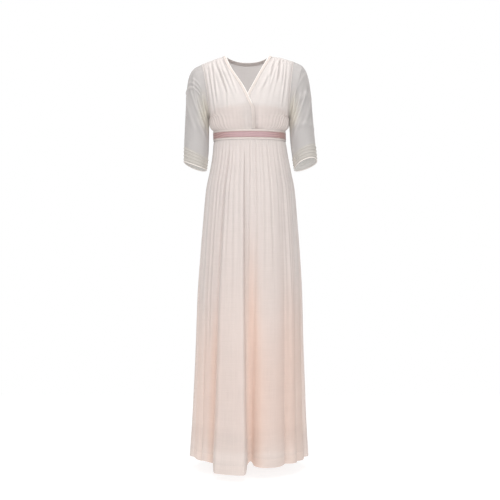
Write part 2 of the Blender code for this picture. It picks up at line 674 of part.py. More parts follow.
def slip_tube(silk):
    """The slip that shows through from the bust line down: one open tube."""
    angle = np.radians(np.arange(SLIP_COLUMNS) * 360 / SLIP_COLUMNS)
    top = SLIP_TOP_SIDE - SLIP_TOP_RISE * np.abs(np.cos(angle)) ** 0.3
    rows = []
    for share, clearance in ((0.0, SLIP_BODICE_CLEARANCE), (0.5, SLIP_BODICE_CLEARANCE), (1.0, SLIP_CLEARANCE)):
        drop = top + (BAND_TOP - top) * share
        half_width, edge_y = form_edge(drop, False)
        front = smooth_curve(BODICE_DEPTHS["drop"], BODICE_DEPTHS["front"], drop) - clearance
        back = smooth_curve(BODICE_DEPTHS["drop"], BODICE_DEPTHS["back"], drop) - clearance
        half_width = np.minimum(half_width, form_edge(np.maximum(drop, 0.222), False)[0]) - clearance
        roundness = smooth_curve(BODICE_DEPTHS["drop"], BODICE_DEPTHS["roundness"], drop)
        depth = np.where(np.cos(angle) > 0, -front, back) * np.abs(np.cos(angle)) ** roundness
        rows.append(np.stack([half_width * np.sin(angle), depth, -drop], axis=1))
    for drop in SLIP_SECTIONS["drop"]:
        rows.append(section_at(SLIP_SECTIONS, drop, angle))
    cloth("slip", np.array(rows), silk, ring=True, wall=SLIP_WALL)


def build():
    """Every piece of the dress."""
    for piece in list(bpy.data.objects):
        bpy.data.objects.remove(piece, do_unlink=True)
    cotton = fabric("sheer_cotton", (0.76, 0.68, 0.63), 0.9)
    sleeve_cotton = fabric("sleeve_cotton", (0.80, 0.77, 0.74), 0.9)
    cream = fabric("cream_binding", (0.88, 0.82, 0.76), 0.8)
    pink = fabric("pink_ribbon", (0.60, 0.40, 0.42), 0.6)
    silk = fabric("peach_slip", (0.80, 0.55, 0.46), 0.55)

    right_front, left_front = front_panels()
    cloth("bodice_front_right", right_front, cotton)
    cloth("bodice_front_left", left_front, cotton)
    cloth("neck_binding_right", neck_strip(right_front), cream, wall=TRIM_WALL)
    cloth("neck_binding_left", neck_strip(left_front), cream, wall=TRIM_WALL)

    back = back_panel()
    cloth("bodice_back", back, cotton)
    cloth("neck_binding_back", back_neck_strip(back), cream, wall=TRIM_WALL)

    for side in ("left", "right"):
        grid = sleeve_panel(side)
        cloth(f"sleeve_{side}", grid, sleeve_cotton, ring=True)
        mesh_object(f"cuff_piping_{side}", as_worn(cuff_piping(grid)), cream, True, closed_section=True)

    waistband_and_ribbon(cream, pink)
    skirt_panels(cotton)
    slip_tube(silk)


build()
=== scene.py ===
"""A long empire-line dress of sheer gathered cotton over a peach slip, with a ribboned band.

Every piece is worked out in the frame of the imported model, in metres: the origin lies between the shoulders,
+Z is up, the wearer faces -Y and +X is the wearer's left. A drop is a distance below the origin.
"""

import math
from functools import partial

import bpy
import numpy as np
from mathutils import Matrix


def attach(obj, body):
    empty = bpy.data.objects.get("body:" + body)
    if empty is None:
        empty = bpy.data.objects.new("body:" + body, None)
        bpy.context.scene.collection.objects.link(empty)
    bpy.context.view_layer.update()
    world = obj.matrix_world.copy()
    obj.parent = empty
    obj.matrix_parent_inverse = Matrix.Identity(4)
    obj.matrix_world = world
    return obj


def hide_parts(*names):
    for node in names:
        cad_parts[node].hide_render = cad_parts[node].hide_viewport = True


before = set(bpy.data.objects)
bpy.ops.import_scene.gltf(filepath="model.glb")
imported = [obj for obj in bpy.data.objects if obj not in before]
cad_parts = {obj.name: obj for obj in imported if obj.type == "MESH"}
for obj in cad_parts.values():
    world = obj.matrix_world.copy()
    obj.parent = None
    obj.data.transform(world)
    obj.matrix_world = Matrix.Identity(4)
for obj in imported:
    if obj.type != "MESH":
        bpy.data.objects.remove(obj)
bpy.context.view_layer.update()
bpy.ops.object.select_all(action="DESELECT")

# The studio: a plain pale floor just under the hem, white surroundings, a wide soft light overhead and three
# smaller ones at the left, the right and in front, and a camera straight ahead at half the dress's height.
CAMERA_PLACE = (0.009, -3.6, -0.693)
CAMERA_LENS = 72.6
FLOOR_DROP = 1.475
FLOOR_WIDTH = 3.6
FLOOR_GREY = (0.30, 0.30, 0.30, 1)
FLOOR_GLOW = 0.80
WHITE = (1, 1, 1, 1)
LIGHT_COLOUR = (1.0, 0.99, 0.98)
AMBIENT_STRENGTH = 0.48

camera = bpy.data.objects.new("camera", bpy.data.cameras.new("camera"))
camera.data.lens = CAMERA_LENS
camera.data.sensor_width = 36.0
camera.location = CAMERA_PLACE
camera.rotation_euler = (math.radians(90), 0, 0)
bpy.context.collection.objects.link(camera)
bpy.context.scene.camera = camera
bpy.context.scene.view_settings.view_transform = "Standard"


def feed(tree, node, inputs):
    """Sets each input of a shader node to a plain value, or feeds it from another node's output."""
    for name, value in inputs.items():
        if isinstance(value, bpy.types.NodeSocket):
            tree.links.new(value, node.inputs[name])
        else:
            node.inputs[name].default_value = value


def node_output(tree, kind, gives, inputs, **settings):
    """One output of a new shader node, with its settings made and its inputs fed."""
    node = tree.nodes.new(kind)
    for name, value in settings.items():
        setattr(node, name, value)
    feed(tree, node, inputs)
    return node.outputs[gives]


def new_finish(name):
    """A new material, with its node tree and its shader."""
    finish = bpy.data.materials.new(name)
    finish.use_nodes = True
    return finish, finish.node_tree, finish.node_tree.nodes["Principled BSDF"]


surroundings = bpy.data.worlds.new("surroundings")
surroundings.use_nodes = True
bpy.context.scene.world = surroundings
air = surroundings.node_tree
ambient = air.nodes["Background"]
feed(air, ambient, {"Color": (*LIGHT_COLOUR, 1), "Strength": AMBIENT_STRENGTH})
seen_white = node_output(air, "ShaderNodeBackground", "Background", {"Color": WHITE, "Strength": 1.0})
to_camera = node_output(air, "ShaderNodeLightPath", "Is Camera Ray", {})
shaders = {"Fac": to_camera, 1: ambient.outputs["Background"], 2: seen_white}
shown = node_output(air, "ShaderNodeMixShader", "Shader", shaders)
feed(air, air.nodes["World Output"], {"Surface": shown})


def soft_light(name, place, aim, size, power):
    """A square soft light that faces a point."""
    lamp = bpy.data.lights.new(name, "AREA")
    lamp.shape = "SQUARE"
    lamp.size = size
    lamp.energy = power
    lamp.color = LIGHT_COLOUR
    light = bpy.data.objects.new(name, lamp)
    gaze = np.array(aim) - np.array(place)
    gaze = gaze / np.linalg.norm(gaze)
    light.location = place
    light.rotation_euler = (math.acos(-gaze[2]), 0, math.atan2(-gaze[0], gaze[1]))
    bpy.context.collection.objects.link(light)


soft_light("overhead_light", (0.0, -1.0, 1.9), (0.0, -0.2, -0.6), 3.0, 58.0)
soft_light("left_light", (-2.3, -2.6, 0.9), (0.0, 0.0, -0.6), 1.6, 25.0)
soft_light("right_light", (2.4, -2.4, 0.2), (0.0, 0.0, -0.6), 1.8, 16.0)
soft_light("front_light", (-0.2, -4.6, -0.3), (0.0, 0.0, -0.8), 1.4, 37.0)

bpy.ops.mesh.primitive_plane_add(size=FLOOR_WIDTH, location=(0, 0, -FLOOR_DROP))
floor = bpy.context.object
floor.name = "studio_floor"
floor_finish, floor_tree, floor_shader = new_finish("pale_floor")
floor_look = {"Base Color": FLOOR_GREY, "Roughness": 0.8, "Emission Color": WHITE}
feed(floor_tree, floor_shader, floor_look | {"Emission Strength": FLOOR_GLOW})
floor.data.materials.append(floor_finish)
bpy.ops.object.select_all(action="DESELECT")

# The slip: a straight sleeveless underdress of peach silk, seamed into one tube. Its top edge crosses the
# lower bust, and it hangs free inside the cotton, so its colour shows through it.
SLIP_CLEARANCE = 0.0056
SLIP_BODICE_CLEARANCE = 0.0068
SLIP_TOP_SIDE = 0.220
SLIP_TOP_RISE = 0.0260
SLIP_WALL = 0.0005
SLIP_COLUMNS = 240
SLIP_CUT = (1.02, 1.20)
SILK_THREAD = 0.0006
SLIP_PEACH_HIGH = (0.86, 0.71, 0.66)
SLIP_PEACH_LOW = (0.90, 0.64, 0.53)
HEM_OPACITY = 0.78
DENSER_OVER = 0.09
# How strongly painted shade darkens the cloth's colour in its folds.
HOLLOW_SHADE = 0.30
SLIP_TUBE_FROM = 0.300
SLIP_HEM = 1.400
SLIP_TOP_ROWS = 16
SLIP_ROWS = 90
UNDERARM_DROP = 0.222
BAND_TOP = 0.2733
# The drop at which the slip and the skirt come out below the band.
BAND_FOOT = 0.3075


def table(names, *rows):
    """The columns of a table by name, with one row for each section or fold."""
    return dict(zip(names.split(), np.array(rows, float).T))


SIDE_SEAM = table(
    "drop x y",
    (0.222, 0.1410, 0.004),
    (0.240, 0.1408, 0.003),
    (0.256, 0.1385, 0.001),
    (0.273, 0.1270, 0.000),
    (0.307, 0.1270, 0.000),
)
BODICE_DEPTHS = table(
    "drop front back roundness",
    (0.000, 0.018, 0.050, 0.90),
    (0.014, 0.036, 0.062, 0.95),
    (0.030, 0.054, 0.074, 1.05),
    (0.070, 0.083, 0.091, 1.25),
    (0.110, 0.103, 0.101, 1.30),
    (0.150, 0.118, 0.105, 1.20),
    (0.190, 0.126, 0.105, 1.00),
    (0.225, 0.123, 0.101, 0.86),
    (0.250, 0.112, 0.095, 0.82),
    (0.273, 0.0985, 0.0865, 0.82),
    (0.307, 0.0985, 0.0865, 0.82),
)
SLIP_SECTIONS = table(
    "drop half_width front back roundness",
    (BAND_FOOT, 0.1214, 0.0929, 0.0809, 0.82),
    (0.366, 0.1260, 0.0970, 0.0890, 0.88),
    (0.450, 0.1390, 0.1020, 0.1040, 0.98),
    (0.600, 0.1510, 0.1040, 0.1240, 1.0),
    (0.870, 0.1600, 0.1010, 0.1420, 1.0),
    (1.150, 0.1630, 0.1000, 0.1560, 1.0),
    (SLIP_HEM, 0.1650, 0.1000, 0.1640, 1.0),
)
# The dress hangs a little towards the wearer's left, and its left shoulder sits higher than its right.
SWAY = table(
    "drop shift",
    (0.0, 0.0),
    (0.10, 0.0034),
    (0.28, 0.0070),
    (0.40, 0.0106),
    (1.00, 0.0085),
    (1.50, 0.0070),
)
SHOULDER_LIFT = table(
    "x rise",
    (-0.250, -0.003),
    (-0.200, -0.003),
    (-0.077, 0.000),
    (0.077, 0.000),
    (0.130, 0.006),
    (0.200, 0.008),
    (0.250, 0.008),
)


def smooth_curve(keys, values, at):
    """A smooth curve through a table's values that never overshoots them."""
    at = np.clip(np.asarray(at, float), keys[0], keys[-1])
    steps = np.diff(keys)
    slopes = np.diff(values) / steps
    before, after = slopes[:-1], slopes[1:]
    agree = before * after > 0
    total = np.where(agree, before + after, 1.0)
    inner = np.where(agree, 2 * before * after / total, 0.0)
    tangents = np.concatenate([[slopes[0]], inner, [slopes[-1]]])
    cell = np.clip(np.searchsorted(keys, at, side="right") - 1, 0, len(steps) - 1)
    step = steps[cell]
    t = (at - keys[cell]) / step
    start = (1 + 2 * t) * (1 - t) ** 2 * values[cell] + t * (1 - t) ** 2 * step * tangents[cell]
    end = t * t * (3 - 2 * t) * values[cell + 1] + t * t * (t - 1) * step * tangents[cell + 1]
    return start + end


def fade(value, start, end):
    """0 at start rising smoothly to 1 at end."""
    t = np.clip((np.asarray(value, float) - start) / (end - start), 0, 1)
    return t * t * (3 - 2 * t)


def read_at(sections, name, at):
    """A table's column as a smooth curve, read at values of its first column."""
    return smooth_curve(next(iter(sections.values())), sections[name], at)


def unit(vectors):
    """The vectors, each brought to a length of one."""
    return vectors / np.linalg.norm(vectors, axis=-1, keepdims=True)


def as_worn(points):
    """The points where they lie as the dress is worn: a little to the left, with one shoulder higher."""
    moved = np.array(points, float)
    moved[..., 0] += read_at(SWAY, "shift", -moved[..., 2])
    rise = read_at(SHOULDER_LIFT, "rise", moved[..., 0])
    moved[..., 2] += rise * (1 - fade(-moved[..., 2], 0.04, 0.14))
    return moved


def side_edge(drop):
    """The half width and the y of the side seam at a drop."""
    return tuple(read_at(SIDE_SEAM, name, drop) for name in ("x", "y"))


def ring_of(angle, half_width, front, back, roundness, drop):
    """A ring round the body at a drop, for angles from the front towards the left side."""
    depth = np.where(np.cos(angle) > 0, -front, back) * np.abs(np.cos(angle)) ** roundness
    return np.stack([half_width * np.sin(angle), depth, -drop * np.ones_like(angle)], axis=-1)


def section_at(sections, drop, angle):
    """A ring of the skirt or the slip at one drop."""
    sizes = (read_at(sections, name, drop) for name in ("half_width", "front", "back", "roundness"))
    return ring_of(angle, *sizes, drop)


def finished(piece, edge_angle=50):
    """The piece with its modifiers applied and its faces shaded smooth, riding on the dress's one body."""
    bpy.context.view_layer.objects.active = piece
    piece.select_set(True)
    for modifier in list(piece.modifiers):
        bpy.ops.object.modifier_apply(modifier=modifier.name)
    bpy.ops.object.shade_smooth_by_angle(angle=math.radians(edge_angle))
    piece.select_set(False)
    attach(piece, "root")
    return piece


def mesh_of(name, points, corners, material):
    """An object from points and four-cornered faces."""
    mesh = bpy.data.meshes.new(name)
    mesh.vertices.add(len(points))
    mesh.vertices.foreach_set("co", np.ascontiguousarray(points, np.float32).ravel())
    mesh.loops.add(corners.size)
    mesh.loops.foreach_set("vertex_index", corners.ravel().astype(np.int32))
    mesh.polygons.add(len(corners))
    mesh.polygons.foreach_set("loop_start", np.arange(0, corners.size, 4, dtype=np.int32))
    mesh.update(calc_edges=True)
    mesh.validate()
    mesh.materials.append(material)
    piece = bpy.data.objects.new(name, mesh)
    bpy.context.collection.objects.link(piece)
    return piece


def map_threads(piece, thread_map):
    """Gives a piece the map of its threads in metres, which its weave follows."""
    layer = piece.data.uv_layers.new(name="threads")
    layer.data.foreach_set("uv", thread_map.astype(np.float32).ravel())


def cloth_piece(name, grid, material, wall, cut_width, ring=False, warmth=None, hollow=None):
    """A sheet of cloth through rows of points, thickened inwards, with its threads' own map in metres."""
    points = as_worn(grid)
    rows, columns = points.shape[:2]
    last = columns if ring else columns - 1
    row, column = np.meshgrid(np.arange(rows - 1), np.arange(last), indexing="ij")
    rows_of = np.stack([row, row, row + 1, row + 1], axis=-1).reshape(-1, 4)
    columns_of = np.stack([column, column + 1, column + 1, column], axis=-1).reshape(-1, 4)
    corners = rows_of * columns + columns_of % columns
    flat = points.reshape(-1, 3)
    across, along = flat[corners[:, 1]] - flat[corners[:, 0]], flat[corners[:, 3]] - flat[corners[:, 0]]
    axis = points.mean(axis=1)[rows_of[:, 0]] if ring else flat[corners[:, 0]] * (0, 0, 1)
    side = np.sum(np.cross(across, along) * (flat[corners[:, 0]] - axis))
    down = np.concatenate([[0], np.cumsum(np.linalg.norm(np.diff(points, axis=0), axis=2).mean(axis=1))])
    thread_map = np.stack([columns_of / last * cut_width, down[rows_of]], axis=-1)
    if side < 0:
        corners, thread_map = corners[:, ::-1], thread_map[:, ::-1]
    piece = mesh_of(name, flat, corners, material)
    map_threads(piece, thread_map)
    # Each piece carries its warmth, and its painted shade and light, as attributes of its points.
    for attribute, values in (("warmth", warmth), ("hollow", hollow)):
        shade = np.zeros(len(flat)) if values is None else np.broadcast_to(values, (rows, columns)).ravel()
        layer = piece.data.attributes.new(attribute, "FLOAT", "POINT")
        layer.data.foreach_set("value", np.ascontiguousarray(shade, np.float32))
    solidify = piece.modifiers.new("wall", "SOLIDIFY")
    solidify.thickness = wall
    solidify.offset = -1.0
    solidify.use_rim = True
    return finished(piece)


def hollows(lift, reach, depth, ring=False):
    """How far in a fold each point lies, from its lift and its neighbours'.

    It is 1 in a deep fold and below 0 on a crest.
    """
    padded = np.pad(lift, ((0, 0), (reach, reach)), mode="wrap" if ring else "edge")
    total = np.cumsum(np.pad(padded, ((0, 0), (1, 0))), axis=1)
    width = 2 * reach + 1
    near = (total[:, width:] - total[:, :-width]) / width
    return np.clip((near - lift) / depth, -0.5, 1.0)


def woven_finish(
    name, plain, warm, thread, roughness, opacity, sheen, slub=0.5, raised=0.35, dense_below=None
):
    """A woven cloth: crossing threads with slubs, soft blotches, and painted shade and light.

    The warmth attribute leads from the plain colour to the warm one. A second attribute darkens the
    colour as painted shade where it is above 0, and lightens it as painted light below 0.
    A see-through cloth turns denser from the drop dense_below down, towards its hem.
    """
    finish, tree, shader = new_finish(name)
    add = partial(node_output, tree)

    def worked(operation, *values):
        return add("ShaderNodeMath", "Value", dict(enumerate(values)), operation=operation)

    def ranged(value, low, high, start=0.0, end=1.0):
        ends = {"From Min": start, "From Max": end, "To Min": low, "To Max": high}
        return add("ShaderNodeMapRange", "Result", ends | {"Value": value})

    threads = add("ShaderNodeUVMap", "UV", {}, uv_map="threads")
    wave = {"Vector": threads, "Scale": 0.314 / thread, "Distortion": 0.6}
    warp, weft = (add("ShaderNodeTexWave", "Fac", wave, bands_direction=way) for way in ("X", "Y"))
    weave = worked("MAXIMUM", warp, weft)
    slubs = []
    for stretch in ((420.0, 14.0, 1.0), (12.0, 380.0, 1.0)):
        stretched = add("ShaderNodeMapping", "Vector", {"Vector": threads, "Scale": stretch})
        slubs.append(add("ShaderNodeTexNoise", "Fac", {"Vector": stretched, "Scale": 1.0, "Detail": 2.0}))
    slub_height = worked("ADD", *slubs)
    relief = worked("MULTIPLY_ADD", slub_height, slub, weave)
    bump = add("ShaderNodeBump", "Normal", {"Height": relief, "Strength": raised, "Distance": 0.0004})

    place = add("ShaderNodeTexCoord", "Object", {})
    noise = {"Vector": place, "Scale": 9.0, "Detail": 4.0, "Roughness": 0.6}
    blotches = ranged(add("ShaderNodeTexNoise", "Fac", noise), 0.93, 1.05)
    slub_tone = ranged(slub_height, 0.96, 1.03, start=0.7, end=1.3)
    # The painted shade and light, read from the piece's attribute.
    hollow = add("ShaderNodeAttribute", "Fac", {}, attribute_name="hollow")
    painted_fold_shade = worked("MULTIPLY_ADD", hollow, -HOLLOW_SHADE, 1.0)
    tone = worked("MULTIPLY", worked("MULTIPLY", blotches, slub_tone), painted_fold_shade)
    warmth = add("ShaderNodeAttribute", "Fac", {}, attribute_name="warmth")
    dyes = {"A": (*plain, 1), "B": (*warm, 1), "Factor": warmth}
    dye = add("ShaderNodeMix", "Result", dyes, data_type="RGBA")
    toned = add("ShaderNodeVectorMath", "Vector", {"Vector": dye, "Scale": tone}, operation="SCALE")

    look = {"Roughness": roughness, "Alpha": opacity, "Sheen Weight": sheen, "Sheen Roughness": 0.4}
    feed(tree, shader, look | {"Specular IOR Level": 0.25, "Normal": bump, "Base Color": toned})
    if dense_below:
        height = add("ShaderNodeSeparateXYZ", "Z", {"Vector": place})
        cover = ranged(height, opacity, HEM_OPACITY, start=-dense_below, end=-dense_below - DENSER_OVER)
        cover.node.interpolation_type = "SMOOTHSTEP"
        feed(tree, shader, {"Alpha": cover})
    return finish


slip_silk = woven_finish(
    "slip_silk", SLIP_PEACH_HIGH, SLIP_PEACH_LOW, SILK_THREAD, 0.5, 1.0, 0.1, raised=0.15
)
angle = np.radians(np.arange(SLIP_COLUMNS) * 360 / SLIP_COLUMNS)
slip_top = SLIP_TOP_SIDE - SLIP_TOP_RISE * np.abs(np.cos(angle)) ** 0.3
rings = []
for share in np.linspace(0, 1, SLIP_TOP_ROWS):
    clearance = SLIP_BODICE_CLEARANCE + (SLIP_CLEARANCE - SLIP_BODICE_CLEARANCE) * fade(share, 0.5, 1.0)
    drop = slip_top + (BAND_TOP - slip_top) * share
    half_width = side_edge(np.maximum(drop, UNDERARM_DROP))[0] - clearance
    front, back = (read_at(BODICE_DEPTHS, name, drop) - clearance for name in ("front", "back"))
    rings.append(ring_of(angle, half_width, front, back, read_at(BODICE_DEPTHS, "roundness", drop), drop))
for drop in np.linspace(SLIP_TUBE_FROM, SLIP_HEM, SLIP_ROWS):
    ring = section_at(SLIP_SECTIONS, max(drop, BAND_FOOT), angle)
    flutes = 0.0035 * np.sin(13 * angle + 1.3) + 0.0025 * np.sin(22 * angle + 0.4 + 2.0 * drop)
    ring = ring + unit(ring * (1, 1, 0)) * (flutes - 0.002)[:, None] * fade(drop, 0.45, 1.3)
    ring[:, 2] = -drop
    rings.append(ring)
slip_grid = np.array(rings)
slip_warmth = fade(-slip_grid[..., 2], 0.35, 1.25)
slip_cloth = cloth_piece(
    "slip_silk_tube", slip_grid, slip_silk, SLIP_WALL, SLIP_CUT[0], ring=True, warmth=slip_warmth
)
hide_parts("slip")

# The crossed fronts: two pieces of sheer cotton, gathered into the shoulder seams and into the band under
# the bust. The right front lies over the left one, and each edge is a straight cut on the cross.
COTTON_WALL = 0.0005
COTTON_THREAD = 0.0008
COTTON_OPACITY = 0.52
DENSE_BELOW = 1.31
COTTON_IVORY = (0.835, 0.785, 0.765)
# The peach of the slip through the cloth, kept light enough to also paint the glow in the skirt's recess.
COTTON_WARM = (0.93, 0.755, 0.67)
FRONT_CUT = (0.24, 0.38)
SEAM_GAP = 0.0003
SHOULDER_SEAM_GAP = 0.0014
NECK_POINT = np.array((0.077, 0.004, 0.0))
SHOULDER_TIP = np.array((0.164, 0.010, -0.028))
UNDERARM = np.array((0.141, 0.004, -UNDERARM_DROP))
ARMHOLE_HOLLOW = 0.006
ARMHOLE_FRONT = 0.062
ARMHOLE_BACK = 0.070
EASED_BY = 0.022
WAIST_SEAM = 0.290
SIDE_SEAM_SHARE = 0.2
UNDER_LAYER_DROP = 0.0040
BINDING_WIDTH = 0.011
BINDING_COLUMNS = 9
FRONT_COLUMNS = 150
# Twenty-six steps across a front, the same steps as in the solid, which the gathers are counted in.
STEPS = 26
SHOULDER_GATHERS = {"first": 1.6, "last": 20.5, "count": 6, "height": 0.0014, "jitter": 0.25, "spread": 0.3}
FINE_SHOULDER_GATHERS = {"first": 1.0, "last": 22.0, "count": 15, "height": 0.0006}
BUST_GATHERS = {"first": 1.5, "last": STEPS, "count": 17, "height": 0.0026}
OVER_EDGE = table(
    "height x drop",
    (0.00, -0.0205, 0.290),
    (0.06, -0.0205, 0.273),
    (0.12, -0.0205, 0.256),
    (0.30, -0.0190, 0.206),
    (0.36, -0.0135, 0.190),
    (0.44, -0.0052, 0.1718),
    (0.52, 0.0040, 0.1502),
    (0.64, 0.0208, 0.1162),
    (0.78, 0.0450, 0.0774),
    (0.90, 0.0655, 0.0379),
    (1.00, 0.0770, 0.000),
)
UNDER_EDGE = table(
    "height x drop",
    (0.00, -0.0205, 0.290),
    (0.06, -0.0205, 0.273),
    (0.12, -0.0205, 0.256),
    (0.30, -0.0205, 0.206),
    (0.36, -0.0185, 0.192),
    (0.44, -0.0120, 0.172),
    (0.52, -0.0040, 0.1502),
    (0.64, 0.0141, 0.1162),
    (0.78, 0.0350, 0.0774),
    (0.90, 0.0572, 0.0379),
    (1.00, 0.0770, 0.000),
)
RIGHT_FRONT_CREASES = table(
    "x drop to_x to_drop depth width",
    (0.086, 0.022, 0.044, 0.150, 0.0022, 0.0032),
    (0.100, 0.028, 0.066, 0.135, 0.0012, 0.0030),
    (0.113, 0.026, 0.078, 0.142, 0.0042, 0.0036),
    (0.078, 0.140, 0.075, 0.200, 0.0012, 0.0034),
    (0.1265, 0.034, 0.112, 0.178, 0.0030, 0.0034),
    (0.141, 0.052, 0.120, 0.215, 0.0028, 0.0036),
)
LEFT_FRONT_CREASES = table(
    "x drop to_x to_drop depth width",
    (0.115, 0.024, 0.102, 0.104, 0.0040, 0.0036),
    (0.095, 0.022, 0.072, 0.114, 0.0024, 0.0034),
    (0.091, 0.056, 0.038, 0.150, 0.0012, 0.0040),
    (0.138, 0.046, 0.117, 0.190, 0.0028, 0.0036),
    (0.128, 0.034, 0.118, 0.120, 0.0014, 0.0030),
)
chance = np.random.default_rng(1810)


def normals_of(grid, ring=False):
    """Unit normals of a grid of points that look away from its own axis."""
    if ring:
        across = np.roll(grid, -1, axis=1) - np.roll(grid, 1, axis=1)
    else:
        across = np.gradient(grid, axis=1)
    normals = unit(np.cross(across, np.gradient(grid, axis=0)))
    axis = grid.mean(axis=1, keepdims=True) if ring else grid * (0, 0, 1)
    return normals if np.sum(normals * (grid - axis)) > 0 else -normals


def mirrored(grid):
    """The same points on the other side of the body."""
    return np.asarray(grid) * (-1, 1, 1)


def signed(angle):
    """Angles from 0 to a whole turn as angles from minus to plus half a turn."""
    return np.where(angle > math.pi, angle - 2 * math.pi, angle)


def armhole_point(angle):
    """A point of the armhole seam: 0 at the shoulder tip, pi at the underarm, positive in front."""
    angle = np.asarray(angle, float)
    middle = (SHOULDER_TIP + UNDERARM) / 2
    half = (SHOULDER_TIP - UNDERARM) / 2
    point = middle + half * np.cos(angle)[..., None]
    point[..., 0] -= ARMHOLE_HOLLOW * np.abs(np.sin(angle))
    reach = np.where(np.sin(angle) > 0, ARMHOLE_FRONT, ARMHOLE_BACK)
    point[..., 1] -= reach * np.sin(angle)
    return point


def form_edge(drop, back):
    """Where the body's form ends sideways at a drop: the shoulder seam, the armhole, then the side seam."""
    drop = np.asarray(drop, float)
    share = np.clip(drop / -SHOULDER_TIP[2], 0, 1)
    shoulder = NECK_POINT + (SHOULDER_TIP - NECK_POINT) * share[..., None]
    middle, half = (SHOULDER_TIP[2] + UNDERARM[2]) / 2, (SHOULDER_TIP[2] - UNDERARM[2]) / 2
    angle = np.arccos(np.clip((-drop - middle) / half, -1, 1))
    armhole = armhole_point(-angle if back else angle)
    side_x, side_y = side_edge(drop)
    high, low = drop < -SHOULDER_TIP[2], drop > -UNDERARM[2]
    x = np.where(high, shoulder[..., 0], np.where(low, side_x, armhole[..., 0]))
    y = np.where(high, shoulder[..., 1], np.where(low, side_y, armhole[..., 1]))
    return x, y


def form_depth(x, drop, back):
    """The y of the bodice's form at x and drop, eased inside the foot of the armhole."""
    edge_x, edge_y = form_edge(drop, back)
    depth = read_at(BODICE_DEPTHS, "back", drop) if back else -read_at(BODICE_DEPTHS, "front", drop)
    roundness = read_at(BODICE_DEPTHS, "roundness", drop)
    share = np.clip(1 - (x / edge_x) ** 2, 0, 1) ** (roundness / 2)
    shifts = np.linspace(-EASED_BY, EASED_BY, 9)
    eased_y = np.mean([form_edge(drop + shift, back)[1] for shift in shifts], axis=0)
    edge_y = edge_y + (eased_y - edge_y) * fade(1 - np.abs(x) / edge_x, 0.02, 0.22) * fade(drop, 0.15, 0.18)
    return edge_y + (depth - edge_y) * share


def outer_edge(height):
    """The side seam and the armhole as one edge, seen from the front, for heights from 0 to 1."""
    height = np.asarray(height, float)
    crossed_drop = read_at(OVER_EDGE, "drop", height)
    lift = fade(height, 0.06, SIDE_SEAM_SHARE)
    eased_drop = crossed_drop * (1 - lift) - UNDERARM[2] * lift
    seam_drop = np.where(height < SIDE_SEAM_SHARE, eased_drop, -UNDERARM[2])
    armhole_share = np.clip((height - SIDE_SEAM_SHARE) / (1 - SIDE_SEAM_SHARE), 0, 1)
    armhole = armhole_point(math.pi * (1 - armhole_share))
    on_seam = height <= SIDE_SEAM_SHARE
    x = np.where(on_seam, form_edge(seam_drop, False)[0], armhole[..., 0])
    drop = np.where(on_seam, seam_drop, -armhole[..., 2])
    return x, drop


def gathers(place, valleys, heights, squareness=2.0):
    """Rounded crests between narrow valleys: 0 at a valley, and a crest's height midway to the next one."""
    i = np.clip(np.searchsorted(valleys, place, side="right") - 1, 0, len(valleys) - 2)
    share = np.clip((place - valleys[i]) / (valleys[i + 1] - valleys[i]), 0, 1)
    return heights[i] * (1 - np.abs(2 * share - 1) ** squareness)


def uneven_gathers(first, last, count, height, jitter=0.22, spread=0.35):
    """Valleys at uneven steps between two ends, and the uneven heights of the crests between them."""
    valleys = np.linspace(first, last, count + 1)
    step = (last - first) / count
    valleys[1:-1] += chance.uniform(-jitter, jitter, count - 1) * step
    return valleys, height * chance.uniform(1 - spread, 1 + spread, count)


def gather_lift(place, run):
    """The lift of one run of uneven gathers, and none outside it."""
    lift = gathers(place, *uneven_gathers(**run))
    return lift * (place > run["first"]) * (place < run["last"])


def creased(x, drop, creases):
    """The lift of straight creases seen from the front: each a narrow valley between two raised sides."""
    place = np.stack([x, drop], axis=-1)
    lift = np.zeros(x.shape)
    for start_x, start_drop, end_x, end_drop, depth, width in zip(*creases.values()):
        start = np.array((start_x, start_drop))
        line = np.array((end_x, end_drop)) - start
        share = np.clip((place - start) @ line / (line @ line), 0, 1)
        away = np.linalg.norm(place - start - share[..., None] * line, axis=-1) / (1.2 * width)
        strength = 1.5 * depth * np.sin(math.pi * (0.2 + 0.7 * share))
        lift += strength * (0.8 * np.exp(-((away / 2.3) ** 2)) - 1.3 * np.exp(-(away**2)))
    return lift


def front_heights():
    """The rows of a front, closer together by the waist and the shoulder seam."""
    low = np.linspace(0, SIDE_SEAM_SHARE, 26, endpoint=False)
    high = SIDE_SEAM_SHARE + (1 - SIDE_SEAM_SHARE) * np.sin(np.linspace(0, math.pi / 2, 84))
    return np.concatenate([low, high])[:, None]


def front_grid(edge):
    """A left front, in rows from the waist seam up, and its columns' steps from the crossed edge out."""
    height = front_heights()
    inner_x = read_at(edge, "x", height)
    inner_drop = read_at(edge, "drop", height)
    outer_x, outer_drop = outer_edge(height)
    band = BINDING_WIDTH / np.hypot(outer_x - inner_x, outer_drop - inner_drop)
    steps = np.linspace(0, STEPS, FRONT_COLUMNS)
    spread = np.sin(steps / STEPS * math.pi / 2)[None, :]
    on_binding = np.linspace(0, 1, BINDING_COLUMNS, endpoint=False)[None, :]
    share = np.concatenate([band * on_binding, band + (1 - band) * spread], axis=1)
    x = inner_x + (outer_x - inner_x) * share
    drop = inner_drop + (outer_drop - inner_drop) * share
    grid = np.stack([x, form_depth(x, drop, False), -drop], axis=2)
    grid[-1, :, 1] = form_edge(drop[-1], False)[1]
    return grid, np.concatenate([np.zeros(BINDING_COLUMNS), steps])[None, :]


